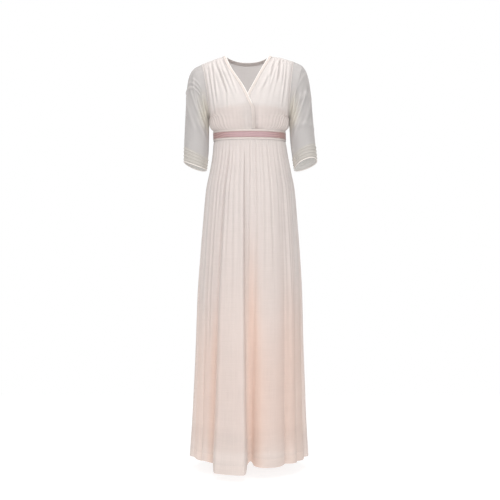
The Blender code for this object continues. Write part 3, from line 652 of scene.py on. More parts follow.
def gathered_front(edge, lowered, creases):
    """A front's rows and columns with its gathers and creases, and its painted shade and light."""
    grid, step = front_grid(edge)
    height = front_heights()
    shoulder_fade = fade(height, 0.30, 0.72) * (1 - 0.55 * fade(height, 0.9, 1.0))
    lift = gather_lift(step, SHOULDER_GATHERS) * shoulder_fade * (1 - 0.6 * fade(step, 12.0, 18.0))
    lift += gather_lift(step, FINE_SHOULDER_GATHERS) * fade(height, 0.74, 0.94)
    slanted = step - 9.0 * fade(height, 0.0, 0.32) * (step / STEPS) ** 2
    bust_fade = fade(height, 0.05, 0.09) * (1 - fade(height, 0.14, 0.40))
    by_underarm = fade(step, 0.8 * STEPS, STEPS) * fade(height, 0.14, SIDE_SEAM_SHARE)
    outer_half = 0.22 + 0.78 * fade(slanted, 8.0, 14.0)
    lift += gather_lift(slanted, BUST_GATHERS) * bust_fade * outer_half * (1 - 0.85 * by_underarm)
    lift += creased(grid[..., 0], -grid[..., 2], creases)
    lift = lift * (1 - fade(step, STEPS - 1.5, STEPS))
    panel = grid + normals_of(grid) * lift[..., None]
    near_middle = 1 - fade(grid[..., 0], 0.030, 0.060)
    panel[..., 1] += lowered * near_middle * fade(-grid[..., 2], 0.108, 0.138)
    on_side = np.ravel(height) <= SIDE_SEAM_SHARE
    panel[:, -1, 1] -= SEAM_GAP / 2 * on_side
    panel[:, -1, 0] -= SEAM_GAP * ~on_side
    panel[-1, :, 1] -= SHOULDER_SEAM_GAP / 2
    # Painted shade deepens the folds and the foot of the armhole; painted light lifts the cloth under the
    # bust.
    armhole_painted_shade = fade(step, STEPS - 3.0, STEPS) * fade(height, 0.2, 0.3) * (1 - fade(height, 0.42, 0.62))
    lit_below = 0.34 * fade(-grid[..., 2], 0.215, 0.25)
    return panel, np.maximum(0.7 * hollows(lift, 8, 0.0017) + armhole_painted_shade - lit_below, -0.5)


sheer_cotton = woven_finish(
    "sheer_cotton", COTTON_IVORY, COTTON_WARM, COTTON_THREAD, 0.9, COTTON_OPACITY, 0.15,
    slub=0.8, dense_below=DENSE_BELOW,
)
right_front, right_painted_shading = gathered_front(OVER_EDGE, 0.0, RIGHT_FRONT_CREASES)
right_front = mirrored(right_front)
left_front, left_painted_shading = gathered_front(UNDER_EDGE, UNDER_LAYER_DROP, LEFT_FRONT_CREASES)
for side, panel, hollow in (("right", right_front, right_painted_shading), ("left", left_front, left_painted_shading)):
    warm = 0.10 * fade(-panel[..., 2], 0.18, 0.20)
    piece = cloth_piece(
        f"front_{side}_cotton", panel, sheer_cotton, COTTON_WALL, FRONT_CUT[0], warmth=warm, hollow=hollow
    )
    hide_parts(f"bodice_front_{side}")

# The back of the bodice: one piece of the same cotton with a shallow round neck, lightly gathered into the
# band, and felled to the fronts along the shoulders and the sides.
BACK_CUT = (0.42, 0.33)
BACK_NECK_DROP = 0.014
BACK_NECK_SHARE = 0.47
BACK_NECK_STEPS = 34
BACK_SHOULDER_STEPS = 50
BACK_WAIST_GATHERS = {"first": -1.0, "last": 1.0, "count": 32, "height": 0.0015}
YOKE_GATHERS = {"first": -1.0, "last": 1.0, "count": 26, "height": 0.0010}


def back_grid(height, share):
    """The back's left half, for heights from 0 to 1 and shares of the way from its middle to its edge."""
    outer_x, outer_drop = outer_edge(height)
    middle_drop = WAIST_SEAM + (BACK_NECK_DROP - WAIST_SEAM) * height
    low = 1 - fade(height, 0.06, 0.16)
    middle_drop = middle_drop * (1 - low) + outer_drop * low
    x = outer_x * share
    drop = middle_drop + (outer_drop - middle_drop) * share
    neck = np.clip(share / BACK_NECK_SHARE, 0, 1)
    seam = np.clip((share - BACK_NECK_SHARE) / (1 - BACK_NECK_SHARE), 0, 1)
    top_x = NECK_POINT[0] * neck + (SHOULDER_TIP[0] - NECK_POINT[0]) * seam
    top_drop = BACK_NECK_DROP * (1 - neck**2.2) - SHOULDER_TIP[2] * seam
    end_x = SHOULDER_TIP[0] * share
    end_drop = BACK_NECK_DROP + (-SHOULDER_TIP[2] - BACK_NECK_DROP) * share
    pull = height**5
    x = x + (top_x - end_x) * pull
    drop = drop + (top_drop - end_drop) * pull
    return np.stack([x, form_depth(x, drop, True), -drop], axis=2)


back_heights = front_heights()
neck_share = np.linspace(0, BACK_NECK_SHARE, BACK_NECK_STEPS, endpoint=False)
seam_share = np.sin(np.linspace(0, math.pi / 2, BACK_SHOULDER_STEPS))
seam_share = BACK_NECK_SHARE + (1 - BACK_NECK_SHARE) * seam_share
half_share = np.concatenate([neck_share, seam_share])
half = back_grid(back_heights, half_share[None, :])
back = np.concatenate([mirrored(half[:, :0:-1]), half], axis=1)
back_share = np.concatenate([-half_share[:0:-1], half_share])[None, :]
waist_gathers = gather_lift(back_share, BACK_WAIST_GATHERS)
waist_gathers = waist_gathers * fade(back_heights, 0.05, 0.12) * (1 - fade(back_heights, 0.14, 0.55))
yoke_gathers = gather_lift(back_share, YOKE_GATHERS)
yoke_gathers = yoke_gathers * fade(np.abs(back_share), 0.45, 0.6)
yoke_gathers = yoke_gathers * fade(back_heights, 0.6, 0.85) * (1 - 0.6 * fade(back_heights, 0.94, 1.0))
drag = 0.0016 * np.sin(9.0 * back_heights + 5.0 * np.abs(back_share)) * np.sin(math.pi * back_heights) ** 2
lift = (waist_gathers + yoke_gathers + drag) * (1 - fade(np.abs(back_share), 0.95, 1.0))
back_panel = back + normals_of(back) * lift[..., None]
on_side = np.ravel(back_heights) <= SIDE_SEAM_SHARE
for edge, sign in ((0, -1), (-1, 1)):
    back_panel[:, edge, 1] += SEAM_GAP / 2 * on_side
    back_panel[:, edge, 0] -= sign * SEAM_GAP * ~on_side
back_panel[-1, :, 1] += SHOULDER_SEAM_GAP / 2 * (np.abs(back_panel[-1, :, 0]) > NECK_POINT[0] - 0.001)
warm = 0.10 * fade(-back_panel[..., 2], 0.19, 0.215)
# Painted shade darkens the folds of the back's gathers, and painted light their crests.
hollow = 0.6 * hollows(lift, 4, 0.0016)
back_piece = cloth_piece(
    "back_cotton", back_panel, sheer_cotton, COTTON_WALL, BACK_CUT[0], warmth=warm, hollow=hollow
)
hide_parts("bodice_back")

# The neck binding: a strip of white cotton on the cross, rolled over the raw edge and stitched down twice,
# in three lengths that meet at the shoulder seams.
BINDING_WHITE = (0.93, 0.90, 0.87)
BINDING_CREAM = (0.71, 0.635, 0.60)
BINDING_WALL = 0.0006
BINDING_LENGTHS = {"right": 0.34, "left": 0.34, "back": 0.25}
BINDING_STANDOFF = 0.0013
ROLL_SHARE = 0.22
ROLL_HEIGHT = 0.0011
BINDING_FROM_HEIGHT = 0.0625
BINDING_THREAD = 0.0006
BACK_BINDING_FROM = 0.955
THREAD_STANDOFF = 0.0002
STITCH_LENGTH = 0.0021
STITCH_GAP = 0.0009
STITCH_THICKNESS = 0.00038


def solid_of(name, points, corners, material):
    """A closed solid from points and four-cornered faces, which are turned to face outwards."""
    a, b, c, d = (points[corners[:, k]] for k in range(4))
    volume = np.sum(a * np.cross(b, c)) + np.sum(a * np.cross(c, d))
    return mesh_of(name, points, corners if volume > 0 else corners[:, ::-1], material)


def tube_piece(name, rings, material, closed=False):
    """A solid rope-like piece from rings of points along it, which goes round or is capped at both ends."""
    rings = as_worn(rings)
    count, sides = rings.shape[:2]
    last = count if closed else count - 1
    i, j = np.meshgrid(np.arange(last), np.arange(sides), indexing="ij")
    after, beside = (i + 1) % count, (j + 1) % sides
    here, there = i * sides, after * sides
    corners = np.stack([here + j, here + beside, there + beside, there + j], axis=-1).reshape(-1, 4)
    points = rings.reshape(-1, 3)
    if not closed:
        ends = np.stack([rings[0].mean(axis=0), rings[-1].mean(axis=0)])
        points = np.concatenate([points, ends])
        lid = np.arange(0, sides, 2)
        for middle, start, order in ((0, 0, (0, 3, 2, 1)), (1, last * sides, (0, 1, 2, 3))):
            middle += count * sides
            rim = [start + (lid + step) % sides for step in range(3)]
            cap = np.stack([0 * lid + middle, *rim], axis=-1)
            corners = np.concatenate([corners, cap[:, order]])
    piece = solid_of(name, points, corners, material)
    steps = np.linalg.norm(np.diff(rings.mean(axis=1), axis=0), axis=1)
    lengths = np.concatenate([[0], np.cumsum(steps)])
    lengths = np.concatenate([np.repeat(lengths, sides), [0, lengths[-1]]])[: len(points)]
    vertex = np.empty(len(piece.data.loops), np.int32)
    piece.data.loops.foreach_get("vertex_index", vertex)
    around = np.concatenate([np.tile(np.arange(sides) * 0.0006, count), [0, 0]])[: len(points)]
    thread_map = np.stack([around[vertex], lengths[vertex]], axis=1)
    map_threads(piece, thread_map)
    return finished(piece, 60)


def flat_tube(line, out, width, height, closed=False, sides=8):
    """Rings of a rounded strip that follows a line, with out pointing off the cloth."""
    along = np.roll(line, -1, axis=0) - np.roll(line, 1, axis=0) if closed else np.gradient(line, axis=0)
    beside = unit(np.cross(along, out))
    turn = np.arange(sides) * 2 * math.pi / sides
    across = beside[:, None] * (width / 2 * np.cos(turn))[:, None]
    up = out[:, None] * (height / 2 * np.sin(turn))[:, None]
    return line[:, None] + across + up


def stitch_row(
    name, line, out, material, length=STITCH_LENGTH, gap=STITCH_GAP, thickness=STITCH_THICKNESS
):
    """A row of small stitches along a line of points, each a short rounded thread lying on the cloth."""
    line, out = as_worn(line), np.asarray(out)
    reach = np.concatenate([[0], np.cumsum(np.linalg.norm(np.diff(line, axis=0), axis=1))])
    starts = np.arange(gap, reach[-1] - length, length + gap)
    points, corners = [], []
    turn = np.arange(4) * math.pi / 2
    shares, widths = (0.0, 0.25, 0.75, 1.0), (0.35, 1.0, 1.0, 0.35)
    for start in starts:
        stops = start + length * np.array(shares)
        place = np.stack([np.interp(stops, reach, line[:, k]) for k in range(3)], axis=1)
        lift = np.array([np.interp(start, reach, out[:, k]) for k in range(3)])
        lift /= np.linalg.norm(lift)
        along = place[-1] - place[0]
        beside = np.cross(along / np.linalg.norm(along), lift)
        base = len(points) * 16
        section = np.outer(np.cos(turn), beside) + 0.7 * np.outer(np.sin(turn), lift)
        points.append(np.concatenate([p + w * thickness * section for p, w in zip(place, widths)]))
        for i in range(3):
            for j in range(4):
                a, b = base + i * 4 + j, base + i * 4 + (j + 1) % 4
                corners.append((a, b, b + 4, a + 4))
        corners.append((base + 3, base + 2, base + 1, base))
        corners.append((base + 12, base + 13, base + 14, base + 15))
    return finished(solid_of(name, np.concatenate(points), np.array(corners), material), 70)


def thread_finish(name, colour):
    """Twisted cotton thread: slanting ridges along each stitch."""
    finish, tree, shader = new_finish(name)
    add = partial(node_output, tree)
    place = add("ShaderNodeTexCoord", "Object", {})
    twist = add("ShaderNodeTexWave", "Fac", {"Vector": place, "Scale": 900.0}, bands_direction="DIAGONAL")
    shades = add("ShaderNodeValToRGB", "Color", {"Fac": twist})
    for element, share in zip(shades.node.color_ramp.elements, (0.8, 1.0)):
        element.color = (*(share * np.array(colour)), 1)
    bump = add("ShaderNodeBump", "Normal", {"Height": twist, "Strength": 0.4, "Distance": 0.0001})
    feed(tree, shader, {"Roughness": 0.6, "Sheen Weight": 0.2, "Base Color": shades, "Normal": bump})
    return finish


def binding_profile(share):
    """How far the binding stands off the cloth across its width: a full roll at the edge, then flat."""
    roll = np.clip(share / ROLL_SHARE, 0, 1)
    flat = np.clip((share - ROLL_SHARE) / (1 - ROLL_SHARE), 0, 1)
    rolled = ROLL_HEIGHT * np.sqrt(np.clip(1 - (2 * roll - 1) ** 2, 0, 1))
    return BINDING_STANDOFF + np.where(share < ROLL_SHARE, rolled, 0.0003 * (1 - np.abs(2 * flat - 1) ** 4))


binding_cotton = woven_finish(
    "binding_cotton", BINDING_WHITE, BINDING_CREAM, BINDING_THREAD, 0.85, 1.0, 0.2, raised=0.3
)
white_thread = thread_finish("white_thread", (0.86, 0.82, 0.76))
across = np.linspace(0, 1, BINDING_COLUMNS + 6)
binding_pieces, binding_threads = {}, {}


def bind_edge(side, strip, warmth, hollow, thread_lines):
    """One length of the neck binding from its points, with stitches along each of its thread lines."""
    cut_width = BINDING_LENGTHS[side] if side == "back" else BINDING_WIDTH
    piece = cloth_piece(
        f"binding_{side}", strip, binding_cotton, BINDING_WALL, cut_width, warmth=warmth, hollow=hollow
    )
    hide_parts(f"neck_binding_{side}")
    binding_pieces[side], binding_threads[side] = piece, []
    for name, line, out in thread_lines:
        line = line + out * THREAD_STANDOFF
        made = stitch_row(f"binding_{side}_{name}_stitches", line, out, white_thread)
        binding_threads[side].append(made)


for side, panel in (("right", right_front), ("left", left_front)):
    rows = np.ravel(front_heights()) > BINDING_FROM_HEIGHT
    base = panel[rows][:, : BINDING_COLUMNS + 1]
    normals = normals_of(panel)[rows][:, : BINDING_COLUMNS + 1]
    at = across * BINDING_COLUMNS
    low = np.minimum(at.astype(int), BINDING_COLUMNS - 1)
    mix = (at - low)[None, :, None]
    base = base[:, low] * (1 - mix) + base[:, low + 1] * mix
    normals = normals[:, low] * (1 - mix) + normals[:, low + 1] * mix
    below_crossing = 1 - fade(np.ravel(front_heights())[rows], 0.34, 0.40)
    below_crossing = below_crossing[:, None]
    strip = base + normals * (binding_profile(across)[None, :] * (1 - 0.35 * below_crossing))[..., None]
    # Past its roll and below the crossing the binding is painted cream, and darkened there with painted shade.
    past_roll = fade(across, ROLL_SHARE - 0.05, ROLL_SHARE + 0.08)[None, :]
    warm = np.maximum(past_roll, 1.15 * below_crossing)
    lines = []
    for name, place in (("roll", 0.38), ("inner", 0.93)):
        column = int(round(place * (len(across) - 1)))
        lines.append((name, strip[:, column], normals[:, column]))
    bind_edge(side, strip, warm, 0.12 * warm + 0.14 * below_crossing, lines)

neck_rows = np.linspace(BACK_BINDING_FROM, 1.0, 12)[:, None]
past_neck = BINDING_WIDTH / np.linalg.norm(SHOULDER_TIP - NECK_POINT)
reach_share = BACK_NECK_SHARE + (1 - BACK_NECK_SHARE) * past_neck
neck_half = np.linspace(0, reach_share, 40)
half = back_grid(neck_rows, neck_half[None, :])
neck_back = np.concatenate([mirrored(half[:, :0:-1]), half], axis=1)
normals = normals_of(neck_back)
neck_share = 1 - (neck_rows - BACK_BINDING_FROM) / (1 - BACK_BINDING_FROM)
neck_strip = neck_back + normals * binding_profile(neck_share)[..., None]
lines = [(name, neck_strip[row], normals[row]) for name, row in (("roll", 6), ("inner", 1))]
bind_edge("back", neck_strip, 0.9 * (1 - fade(neck_rows, 0.978, 0.984)), None, lines)

# The sleeves: unlined sheer cotton set into the armholes, to the elbow, with soft slanting creases from the
# shoulder and four narrow tucks above a hem that rises in front.
SLEEVE_IVORY = (0.61, 0.585, 0.575)
SLEEVE_WARM = (0.71, 0.665, 0.58)
SLEEVE_OPACITY = 0.50
SLEEVE_WALL = 0.0005
SLEEVE_CUT = (0.36, 0.40)
SLEEVE_COLUMNS = 150
SLEEVE_LENGTH = 0.34
UPPER_ARM_RADIUS = 0.060
CUFF_FRONT_RISE = {"left": 0.021, "right": -0.002}
CUFF_BACK_FALL = 0.010
TUCKS_FROM = 7.1
TUCKS = (7.88, 7.65, 7.42, 7.19)
TUCK_REACH = 0.075
TUCK_HEIGHT = 0.0019
SLEEVE_SECTIONS = table(
    "outer_x outer_drop inner_x inner_drop half_depth middle_y",
    (0.1640, 0.028, 0.1413, 0.222, 0.066, 0.010),
    (0.1925, 0.043, 0.1422, 0.228, 0.064, 0.006),
    (0.2095, 0.068, 0.1425, 0.236, 0.061, 0.006),
    (0.2185, 0.105, 0.1430, 0.248, 0.058, 0.004),
    (0.2230, 0.150, 0.1435, 0.266, 0.055, 0.002),
    (0.2265, 0.205, 0.1445, 0.295, 0.052, 0.000),
    (0.2300, 0.260, 0.1460, 0.325, 0.049, -0.003),
    (0.2340, 0.320, 0.1500, 0.365, 0.047, -0.006),
    (0.2370, 0.376, 0.1555, 0.405, 0.046, -0.008),
)
BOTH_SLEEVES, LEFT_SLEEVE, RIGHT_SLEEVE = 0, 1, 2
SLEEVE_CREASES = table(
    "start_angle start_length end_angle end_length height width side",
    (60.0, 0.375, 122.0, 0.54, 0.0034, 0.010, BOTH_SLEEVES),
    (104.0, 0.12, 158.0, 0.38, 0.0044, 0.009, BOTH_SLEEVES),
    (84.0, 0.28, 135.0, 0.44, 0.0026, 0.008, BOTH_SLEEVES),
    (20.0, 0.50, 80.0, 0.66, 0.0022, 0.012, BOTH_SLEEVES),
    (100.0, 0.58, 150.0, 0.70, 0.0022, 0.011, BOTH_SLEEVES),
    (-40.0, 0.14, -110.0, 0.40, 0.0030, 0.014, BOTH_SLEEVES),
    (-50.0, 0.55, -120.0, 0.70, 0.0024, 0.014, BOTH_SLEEVES),
    (12.0, 0.46, 92.0, 0.19, 0.0036, 0.0036, RIGHT_SLEEVE),
    (30.0, 0.33, 88.0, 0.14, 0.0024, 0.0040, RIGHT_SLEEVE),
    (48.0, 0.21, 80.0, 0.10, 0.0024, 0.0036, RIGHT_SLEEVE),
    (52.0, 0.20, 110.0, 0.50, 0.0026, 0.006, RIGHT_SLEEVE),
    (125.0, 0.22, 157.0, 0.52, 0.0034, 0.006, RIGHT_SLEEVE),
    (30.0, 0.12, 100.0, 0.10, 0.0034, 0.007, LEFT_SLEEVE),
    (25.0, 0.24, 80.0, 0.13, 0.0014, 0.005, LEFT_SLEEVE),
    (36.0, 0.46, 90.0, 0.30, 0.0014, 0.008, LEFT_SLEEVE),
    (15.0, 0.76, 95.0, 0.64, 0.0014, 0.008, LEFT_SLEEVE),
)


def sleeve_grid(front_rise):
    """The left sleeve in rings from the armhole to the hem, each from its top and round the front.

    It also gives the angle of each column and the place of each row in the sleeve's table.
    """
    angle = np.arange(SLEEVE_COLUMNS) * 2 * math.pi / SLEEVE_COLUMNS
    armhole = armhole_point(signed(angle))
    armhole[:, 0] += SEAM_GAP + 0.0010 * np.clip(np.cos(angle), 0, 1)
    keys = np.arange(len(SLEEVE_SECTIONS["outer_x"]), dtype=float)
    upper = np.linspace(0, TUCKS_FROM, 72, endpoint=False)
    rows = np.concatenate([upper, np.linspace(TUCKS_FROM, 8.0, 60)])
    rings = []
    for row in rows:
        value = {name: smooth_curve(keys, column, row) for name, column in SLEEVE_SECTIONS.items()}
        middle_x = (value["outer_x"] + value["inner_x"]) / 2
        middle_drop = (value["outer_drop"] + value["inner_drop"]) / 2
        x = middle_x + (value["outer_x"] - value["inner_x"]) / 2 * np.cos(angle)
        drop = middle_drop + (value["outer_drop"] - value["inner_drop"]) / 2 * np.cos(angle)
        y = value["middle_y"] - value["half_depth"] * np.sin(angle)
        tilt = fade(row, 3.0, 8.0)
        drop = drop - tilt * np.where(np.sin(angle) > 0, front_rise, CUFF_BACK_FALL) * np.sin(angle)
        rings.append(np.stack([x, y, -drop], axis=1))
    grid = np.array(rings)
    to_armhole = 1 - fade(rows, 0.0, 0.6)[:, None, None]
    return grid + (armhole - grid[0]) * to_armhole, angle, rows


def sleeve_lift(angle, rows, side):
    """How far the creases and tucks of one sleeve lift each point."""
    length = rows / rows[-1]
    around = np.degrees(signed(angle))[None, :]
    girth, reach = UPPER_ARM_RADIUS * math.pi / 180, SLEEVE_LENGTH
    place = np.stack(np.broadcast_arrays(around * girth, length * reach), axis=2)
    lift = np.zeros(place.shape[:2])
    for start_angle, start_length, end_angle, end_length, height, width, on in zip(*SLEEVE_CREASES.values()):
        if on not in (BOTH_SLEEVES, side):
            continue
        start = np.array((start_angle * girth, start_length * reach))
        line = np.array((end_angle * girth, end_length * reach)) - start
        share = np.clip(((place - start) @ line) / (line @ line), 0, 1)
        distance = np.linalg.norm(place - start - share[..., None] * line, axis=2)
        lift += height * np.exp(-((distance / width) ** 2))
    lift = lift * fade(length, 0.03, 0.14) * (1 - fade(length, 0.80, 0.92))
    for tuck in TUCKS:
        share = (rows - (tuck - TUCK_REACH)) / TUCK_REACH
        lift = lift + TUCK_HEIGHT * np.where(share <= 1, np.clip(share, 0, 1) ** 1.5, 0)
        lift = lift + TUCK_HEIGHT * np.where(share > 1, np.exp(-(((share - 1) / 0.16) ** 2)), 0)
    return lift


sleeve_cotton = woven_finish(
    "sleeve_cotton", SLEEVE_IVORY, SLEEVE_WARM, COTTON_THREAD, 0.9, SLEEVE_OPACITY, 0.15, slub=0.8
)
sleeves, sleeve_pieces = {}, {}
for side in ("left", "right"):
    grid, angle, rows = sleeve_grid(CUFF_FRONT_RISE[side])
    inwards, rows = -np.cos(angle)[None, :], rows[:, None]
    clear_of_body = 1 - 0.9 * fade(inwards, 0.55, 0.85) * (1 - fade(rows, 5.5, 7.0))
    lift = sleeve_lift(angle, rows, LEFT_SLEEVE if side == "left" else RIGHT_SLEEVE) * clear_of_body
    sleeve = grid + normals_of(grid, ring=True) * lift[..., None]
    sleeve = sleeve if side == "left" else mirrored(sleeve)
    # Painted shade darkens the creases and the hollows between the tucks, and a painted shadow the armpit;
    # near the body the cloth is painted warmer and lighter, and painted light brightens its inner and outer
    # sides.
    by_body = fade(inwards, -0.2, 0.7) * (fade(rows, 0.0, 0.5) * (1 - fade(rows, 3.6, 5.2)))
    warm = np.maximum(0.45 * fade(rows, 7.0, 7.15), 0.9 * by_body)
    hollow = 0.8 * hollows(lift, 10, 0.0026, ring=True)
    hollow = hollow + 0.8 * hollows(lift.T, 3, 0.0012).T * fade(rows, 7.05, 7.12) - 0.25 * by_body
    armpit_painted_shadow = fade(inwards, 0.72, 0.95) * (fade(rows, 0.2, 0.7) * (1 - fade(rows, 1.6, 2.6)))
    inner_rim_painted_light = fade(inwards, 0.70, 0.98) * fade(rows, 3.0, 5.0)
    outer_rim_painted_light = fade(-inwards, 0.80, 1.0) * fade(rows, 0.8, 2.0)
    hollow = hollow + 0.9 * armpit_painted_shadow - 0.9 * inner_rim_painted_light - 0.45 * outer_rim_painted_light
    piece = cloth_piece(
        f"sleeve_{side}_cotton", sleeve, sleeve_cotton, SLEEVE_WALL, SLEEVE_CUT[0], ring=True,
        warmth=warm, hollow=hollow,
    )
    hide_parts(f"sleeve_{side}")
    sleeves[side], sleeve_pieces[side] = sleeve, piece

# The cuff pipings: a cord of cream cotton rolled into each sleeve's hem, which shows as a narrow bright edge
# below the last tuck.
PIPING_CREAM = (0.79, 0.74, 0.70)
PIPING_HEIGHT = 0.0036
PIPING_THICKNESS = 0.0026
PIPING_SIDES = 12
piping_cotton = woven_finish(
    "piping_cotton", PIPING_CREAM, BINDING_CREAM, BINDING_THREAD, 0.85, 1.0, 0.2, raised=0.3
)
for side, sleeve in sleeves.items():
    hem = sleeve[-1]
    down = (hem - sleeve[-8]).mean(axis=0)
    down /= np.linalg.norm(down)
    out = normals_of(sleeve, ring=True)[-1]
    middle = hem - out * SLEEVE_WALL / 2 + down * (PIPING_HEIGHT / 2 - 0.0002)
    turn = np.arange(PIPING_SIDES) * 2 * math.pi / PIPING_SIDES
    section = out[:, None] * (PIPING_THICKNESS / 2 * np.sin(turn))[:, None]
    section = section + down * (PIPING_HEIGHT / 2 * np.cos(turn))[:, None]
    piece = tube_piece(f"piping_{side}", middle[:, None] + section, piping_cotton, closed=True)
    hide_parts(f"cuff_piping_{side}")

# The felled seams of the bodice: a narrow fold of the same cotton stitched flat round each armhole and along
# each shoulder and side.
SEAM_IVORY = (0.71, 0.655, 0.625)
SEAM_WARM = (0.70, 0.64, 0.60)
ARMHOLE_STEPS = 120
SEAM_WIDTH = 0.0030
SEAM_HEIGHT = 0.0011
SEAM_STANDOFF = 0.0002
ARMHOLE_SEAM_HEIGHT = 1.6 * SEAM_HEIGHT
SIDE_SEAM_ROWS = slice(3, 26)
seam_cotton = woven_finish("seam_cotton", SEAM_IVORY, SEAM_WARM, COTTON_THREAD, 0.9, 1.0, 0.15)
seam_pieces = {"left": [], "right": []}


def felled_seam(name, side, line, out, width=SEAM_WIDTH, height=SEAM_HEIGHT, closed=False):
    """One felled seam along a line, as a flat strip that is kept with its side's seams."""
    rings = flat_tube(line, out, width, height, closed)
    piece = tube_piece(f"{name}_{side}", rings, seam_cotton, closed)
    seam_pieces[side].append(piece)


for side, sign, front in (("left", 1, left_front), ("right", -1, right_front)):
    flip = np.array((sign, 1, 1))
    line = armhole_point(signed(np.arange(ARMHOLE_STEPS) * 2 * math.pi / ARMHOLE_STEPS))
    out = unit((line - (SHOULDER_TIP + UNDERARM) / 2) * (0.25, 1, 1))
    line = (line + out * 2 * SEAM_STANDOFF) * flip
    felled_seam("armhole_seam", side, line, out * flip, height=ARMHOLE_SEAM_HEIGHT, closed=True)
    top = front[-1, BINDING_COLUMNS + 1 :]
    out = unit(np.tile((0.25 * sign, 0.0, 1.0), (len(top), 1)))
    felled_seam("shoulder_seam", side, top + (0, SHOULDER_SEAM_GAP / 2, 0) + out * SEAM_STANDOFF, out)
    edge = front[SIDE_SEAM_ROWS, -1]
    out = np.tile((float(sign), 0.0, 0.0), (len(edge), 1))
    felled_seam("bodice_side_seam", side, edge + out * SEAM_STANDOFF, out)

# The skirt: a front and a back of sheer cotton, each cut straight and gathered into the band. Deep folds
# open towards the hem, and the right front falls forwards in one wide box fold.
SKIRT_WALL = 0.0005
SKIRT_CUT = (0.80, 1.17)
SKIRT_COLUMNS = 330
HEM = 1.432
HEM_DEPTH = 0.030
HEM_ROWS = 14
HEM_STANDOFF = 0.0004
HEM_EDGE_SHADE = 0.10
HEM_PALENESS = 0.14
HEM_STITCH = {"length": 0.0012, "gap": 0.0058, "thickness": 0.0003}
SKIRT_SEAM = {"width": 0.0026, "height": 0.0009}
FOLDS_START = 0.311
SKIRT_VALLEYS = table(
    "angle strength end",
    (-80.0, 0.8, 0.6),
    (-71.0, 0.75, 0.9),
    (-64.5, 1.0, 0.7),
    (-56.0, 0.7, 0.9),
    (-48.0, 1.1, 0.85),
    (-41.0, 0.8, 0.45),
    (-34.0, 1.3, 2.0),
    (-28.0, 0.8, 0.55),
    (-22.5, 0.7, 0.65),
    (-15.5, 0.7, 0.5),
    (-9.2, 0.85, 2.0),
    (-5.0, 0.4, 0.45),
    (-0.7, 0.7, 0.6),
    (4.5, 0.4, 0.5),
    (9.3, 0.9, 0.9),
    (15.0, 0.5, 0.45),
    (19.6, 0.7, 0.62),
    (27.3, 0.75, 0.60),
    (33.0, 0.4, 0.45),
    (39.5, 0.55, 0.50),
    (47.0, 0.8, 0.95),
    (54.0, 0.6, 0.80),
    (61.6, 0.8, 0.8),
    (68.0, 0.6, 0.5),
    (76.0, 0.7, 0.80),
    (83.0, 0.6, 0.6),
)
BACK_VALLEYS = 24
FINE_GATHERS = 64
BACK_FOLDS = 10
BACK_FOLD_HEIGHT = 0.026
SKIRT_SECTIONS = table(
    "drop half_width front back roundness",
    (WAIST_SEAM, 0.127, 0.0985, 0.0865, 0.82),
    (BAND_FOOT, 0.127, 0.0985, 0.0865, 0.82),
    (0.342, 0.129, 0.104, 0.092, 0.86),
    (0.407, 0.139, 0.113, 0.106, 0.93),
    (0.478, 0.152, 0.121, 0.122, 1.0),
    (0.586, 0.160, 0.129, 0.138, 1.0),
    (0.700, 0.167, 0.133, 0.148, 1.0),
    (0.871, 0.174, 0.136, 0.160, 1.0),
    (1.014, 0.175, 0.139, 0.170, 1.0),
    (1.157, 0.177, 0.141, 0.178, 1.0),
    (1.300, 0.180, 0.143, 0.186, 1.0),
    (HEM, 0.185, 0.145, 0.193, 1.0),
)
GATHER_HEIGHTS = table(
    "drop height",
    (BAND_FOOT, 0.0),
    (0.326, 0.0020),
    (0.366, 0.0030),
    (0.45, 0.0036),
    (0.60, 0.0037),
    (0.90, 0.0033),
    (1.30, 0.0030),
    (1.45, 0.0030),
)
FINE_GATHER_HEIGHTS = table(
    "drop height",
    (0.3070, 0.0),
    (0.315, 0.0010),
    (0.34, 0.0008),
    (0.42, 0.0005),
    (0.70, 0.0003),
    (1.45, 0.0001),
)
FRONT_FOLDS = table(
    "waist hem height squareness fall forward",
    (-90.0, -90.0, 0.011, 2.0, -0.004, 0.0),
    (-72.0, -78.0, 0.012, 2.0, -0.004, 0.0),
    (-60.0, -64.0, 0.008, 2.0, -0.005, 0.0),
    (-34.0, -43.0, 0.072, 26.0, 0.018, 1.0),
    (-9.0, -2.4, -0.014, 2.0, -0.012, 1.0),
    (9.0, 4.5, 0.026, 3.0, 0.004, 0.6),
    (45.0, 41.0, 0.015, 2.0, 0.000, 0.0),
    (66.0, 61.0, 0.009, 2.0, 0.000, 0.0),
)
# Where the front's colour changes low down: on the box fold, at the left side, at the right side, and on the
# folds between them. Each tint lies between waist angles and grows between two drops, and adds warmth and
# painted shade, or painted light where its shade is below 0.
FRONT_TINTS = table(
    "left_from left_to right_from right_to drop_from drop_to warmth hollow",
    (-33.5, -31.0, -11.5, -9.0, 0.95, 1.25, 0.00, 0.12),
    (-92.0, -91.0, -50.0, -36.0, 0.80, 1.10, 0.40, -0.12),
    (30.0, 50.0, 91.0, 92.0, 0.70, 1.05, 0.55, 0.10),
    (6.0, 12.0, 34.0, 44.0, 0.85, 1.15, 0.30, 0.10),
)


def fold_at(waist_angle):
    """For each waist angle its hem angle, the shape of its large fold, and its place across that fold."""
    waist, hem = (np.append(FRONT_FOLDS[name], 90.0) for name in ("waist", "hem"))
    shape = np.stack([FRONT_FOLDS[name] for name in ("height", "squareness", "fall", "forward")], axis=1)
    results = []
    for angle in waist_angle:
        if angle <= 90.0:
            i = int(np.clip(np.searchsorted(waist, angle, side="right") - 1, 0, len(shape) - 1))
            share = (angle - waist[i]) / (waist[i + 1] - waist[i])
            row = (hem[i] + share * (hem[i + 1] - hem[i]), *shape[i], share)
        else:
            width = 180.0 / BACK_FOLDS
            i = int(min((angle - 90.0) // width, BACK_FOLDS - 1))
            share = (angle - 90.0) / width - i
            row = (angle, BACK_FOLD_HEIGHT + 0.008 * math.sin(2.4 * i), 2.5, 0.0, 0.0, share)
        results.append(row)
    return np.array(results).T


